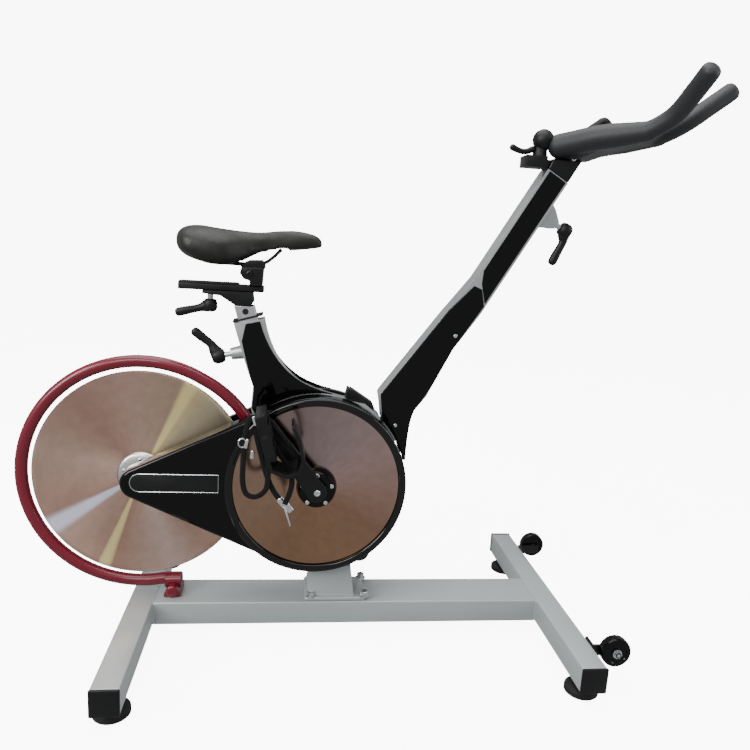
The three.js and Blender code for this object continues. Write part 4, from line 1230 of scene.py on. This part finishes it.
def rounded_box(low, high, edge_mm):
    shape = bmesh.new()
    outline = ((low[0], low[1]), (high[0], low[1]), (high[0], high[1]), (low[0], high[1]))
    corners = [[shape.verts.new(at(x, y, z)) for x, y in outline] for z in (low[2], high[2])]
    shape.faces.new(corners[0][::-1])
    shape.faces.new(corners[1])
    for i in range(4):
        j = (i + 1) % 4
        shape.faces.new([corners[0][i], corners[0][j], corners[1][j], corners[1][i]])
    return soften(shape, edge_mm, 4)


def saddle_cap(point, normal):
    """The farthest a point may move, in mm."""
    return 1.0 if normal.z < -0.3 or point.z < at(0, 0, 836).z and abs(point.y) < 0.04 else 3.2


hollows = [
    rounded_box((-254, -34, 770), (-168, 34, 838), 8),
    rounded_box((-180, -15.5, 770), (-72, 15.5, 842.5), 3),
]
seat = stuffed(saddle_form(), hollows, 4.5, 4.0, saddle_cap)
saddle_pad = finish_piece("saddle_pad", seat, SADDLE_VINYL, "saddle", ["saddle"],
                          math.radians(80))
round_up = saddle_pad.modifiers.new("round_up", "SUBSURF")
round_up.levels = round_up.render_levels = 1
print("saddle across", 2 * max(station[3] for station in SADDLE_STATIONS), "mm, long",
      SADDLE_STATIONS[-1][0] - SADDLE_STATIONS[0][0], "mm")

# %% [markdown]
# Screws and bolts repeat all over the bike, so one Geometry Nodes tree places them: a head is
# copied to every point, faced along one direction, and turned by a seeded amount, because no two
# screws stop at the same angle.

# %% Screws from Geometry Nodes
def screw_tree():
    tree, given = new_tree("screws", [
        ("Head", "NodeSocketObject", None), ("Facing", "NodeSocketVector", (0, -1, 0)),
        ("Most turn", "NodeSocketFloat", 1.0), ("Seed", "NodeSocketInt", 4),
        ("Finish", "NodeSocketMaterial", None),
    ])
    head = add_node(tree, "GeometryNodeObjectInfo", {"Object": given.outputs["Head"]})
    aim = add_node(tree, "FunctionNodeAlignRotationToVector", {"Vector": given.outputs["Facing"]}, axis="Z")
    placed = add_node(tree, "GeometryNodeInstanceOnPoints", {
        "Points": given.outputs["Geometry"], "Instance": head.outputs["Geometry"],
        "Rotation": aim.outputs["Rotation"],
    })
    share = add_node(tree, "FunctionNodeRandomValue", {"Seed": given.outputs["Seed"]}, data_type="FLOAT")
    amount = add_node(tree, "ShaderNodeMath", {0: share.outputs[1], 1: given.outputs["Most turn"]},
                      operation="MULTIPLY")
    about = add_node(tree, "ShaderNodeCombineXYZ", {"Z": amount.outputs["Value"]})
    turned = add_node(tree, "GeometryNodeRotateInstances", {
        "Instances": placed.outputs["Instances"], "Rotation": about.outputs["Vector"],
    })
    real = add_node(tree, "GeometryNodeRealizeInstances", {"Geometry": turned.outputs["Instances"]})
    painted = add_node(tree, "GeometryNodeSetMaterial", {
        "Geometry": real.outputs["Geometry"], "Material": given.outputs["Finish"],
    })
    add_node(tree, "NodeGroupOutput", {"Geometry": painted.outputs["Geometry"]})
    return tree


SCREWS = screw_tree()
ORIGIN, UPWARD = Vector((0, 0, 0)), Vector((0, 0, 1))


def button_head(radius):
    r = radius
    profile = [(0, -1), (r, -1), (r, 0.1 * r), (0.9 * r, 0.42 * r), (0.6 * r, 0.6 * r), (0.5 * r, 0.6 * r),
               (0.48 * r, 0.2 * r), (0, 0.2 * r)]
    return lathe(bmesh.new(), profile, ORIGIN, UPWARD, 28)


def hex_bolt(radius, height):
    washer = [(0, 0), (1.25 * radius, 0), (1.25 * radius, 1.2), (1.15 * radius, 1.6), (0, 1.6)]
    shape = lathe(bmesh.new(), washer, ORIGIN, UPWARD, 40)
    return hexagon(shape, ORIGIN, UPWARD, radius, 1.6, height, 0.7)


def screws(name, head, places, facing, material, body, seed):
    bmesh.ops.recalc_face_normals(head, faces=head.faces)
    sample = object_of("head", head)
    points = bmesh.new()
    for place in places:
        points.verts.new(place)
    made = grown(SCREWS, points, {
        "Head": sample, "Facing": facing, "Most turn": 1.0, "Seed": seed, "Finish": material,
    })
    bpy.data.objects.remove(sample)
    finish_piece(name, made, material, body)


def bolt_circle(centre, radius, y, first_degrees):
    """Five evenly spaced places round a side-view point."""
    return [at(x, y, z) for x, z in arc(*centre, radius, first_degrees, first_degrees + 288, 4)]


hub_places = bolt_circle((0, AXLE_HEIGHT), 31, -90.4, 18)
screws("hub_cap_screws", button_head(4.6), hub_places, (0, -1, 0), BRIGHT_ZINC, "crankset", 3)
fly_places = bolt_circle(FLY_CENTRE, 34, -14.2, 90)
screws("flywheel_bolts", button_head(4.2), fly_places, (0, -1, 0), BRIGHT_ZINC, "flywheel", 5)
for sign, label in ((-1, "right"), (1, "left")):
    places = [at(160, 29.6 * sign, 488), at(273, 28.7 * sign, 681)]
    screws(f"cover_screws_{label}", button_head(4.2), places, (0, sign, 0), BRIGHT_ZINC, "frame",
           7)
flange_bolts = [at(x, y, 108.4) for x in (0, 114) for y in (-40, 40)]
screws("pedestal_bolts", hex_bolt(9.0, 11), flange_bolts, (0, 0, 1), BRIGHT_ZINC, "frame", 11)
screws("clamp_bolts", button_head(3.6), [at(-298, -30, 107), at(-284, -30, 107)], (0, -1, 0), BLACK_STEEL,
       "frame", 13)
screws("seat_clamp_bolt", button_head(7), [at(-146, -26, 786)], (0, -1, 0), BLACK_STEEL, "saddle",
       2)
screws("bar_head_bolt", button_head(5), [at(487, -24.5, 1047)], (0, -1, 0), BRIGHT_ZINC, "bar_post",
       2)
print("pieces in all", len(made_pieces))

# %% Update the scene
bpy.context.view_layer.update()
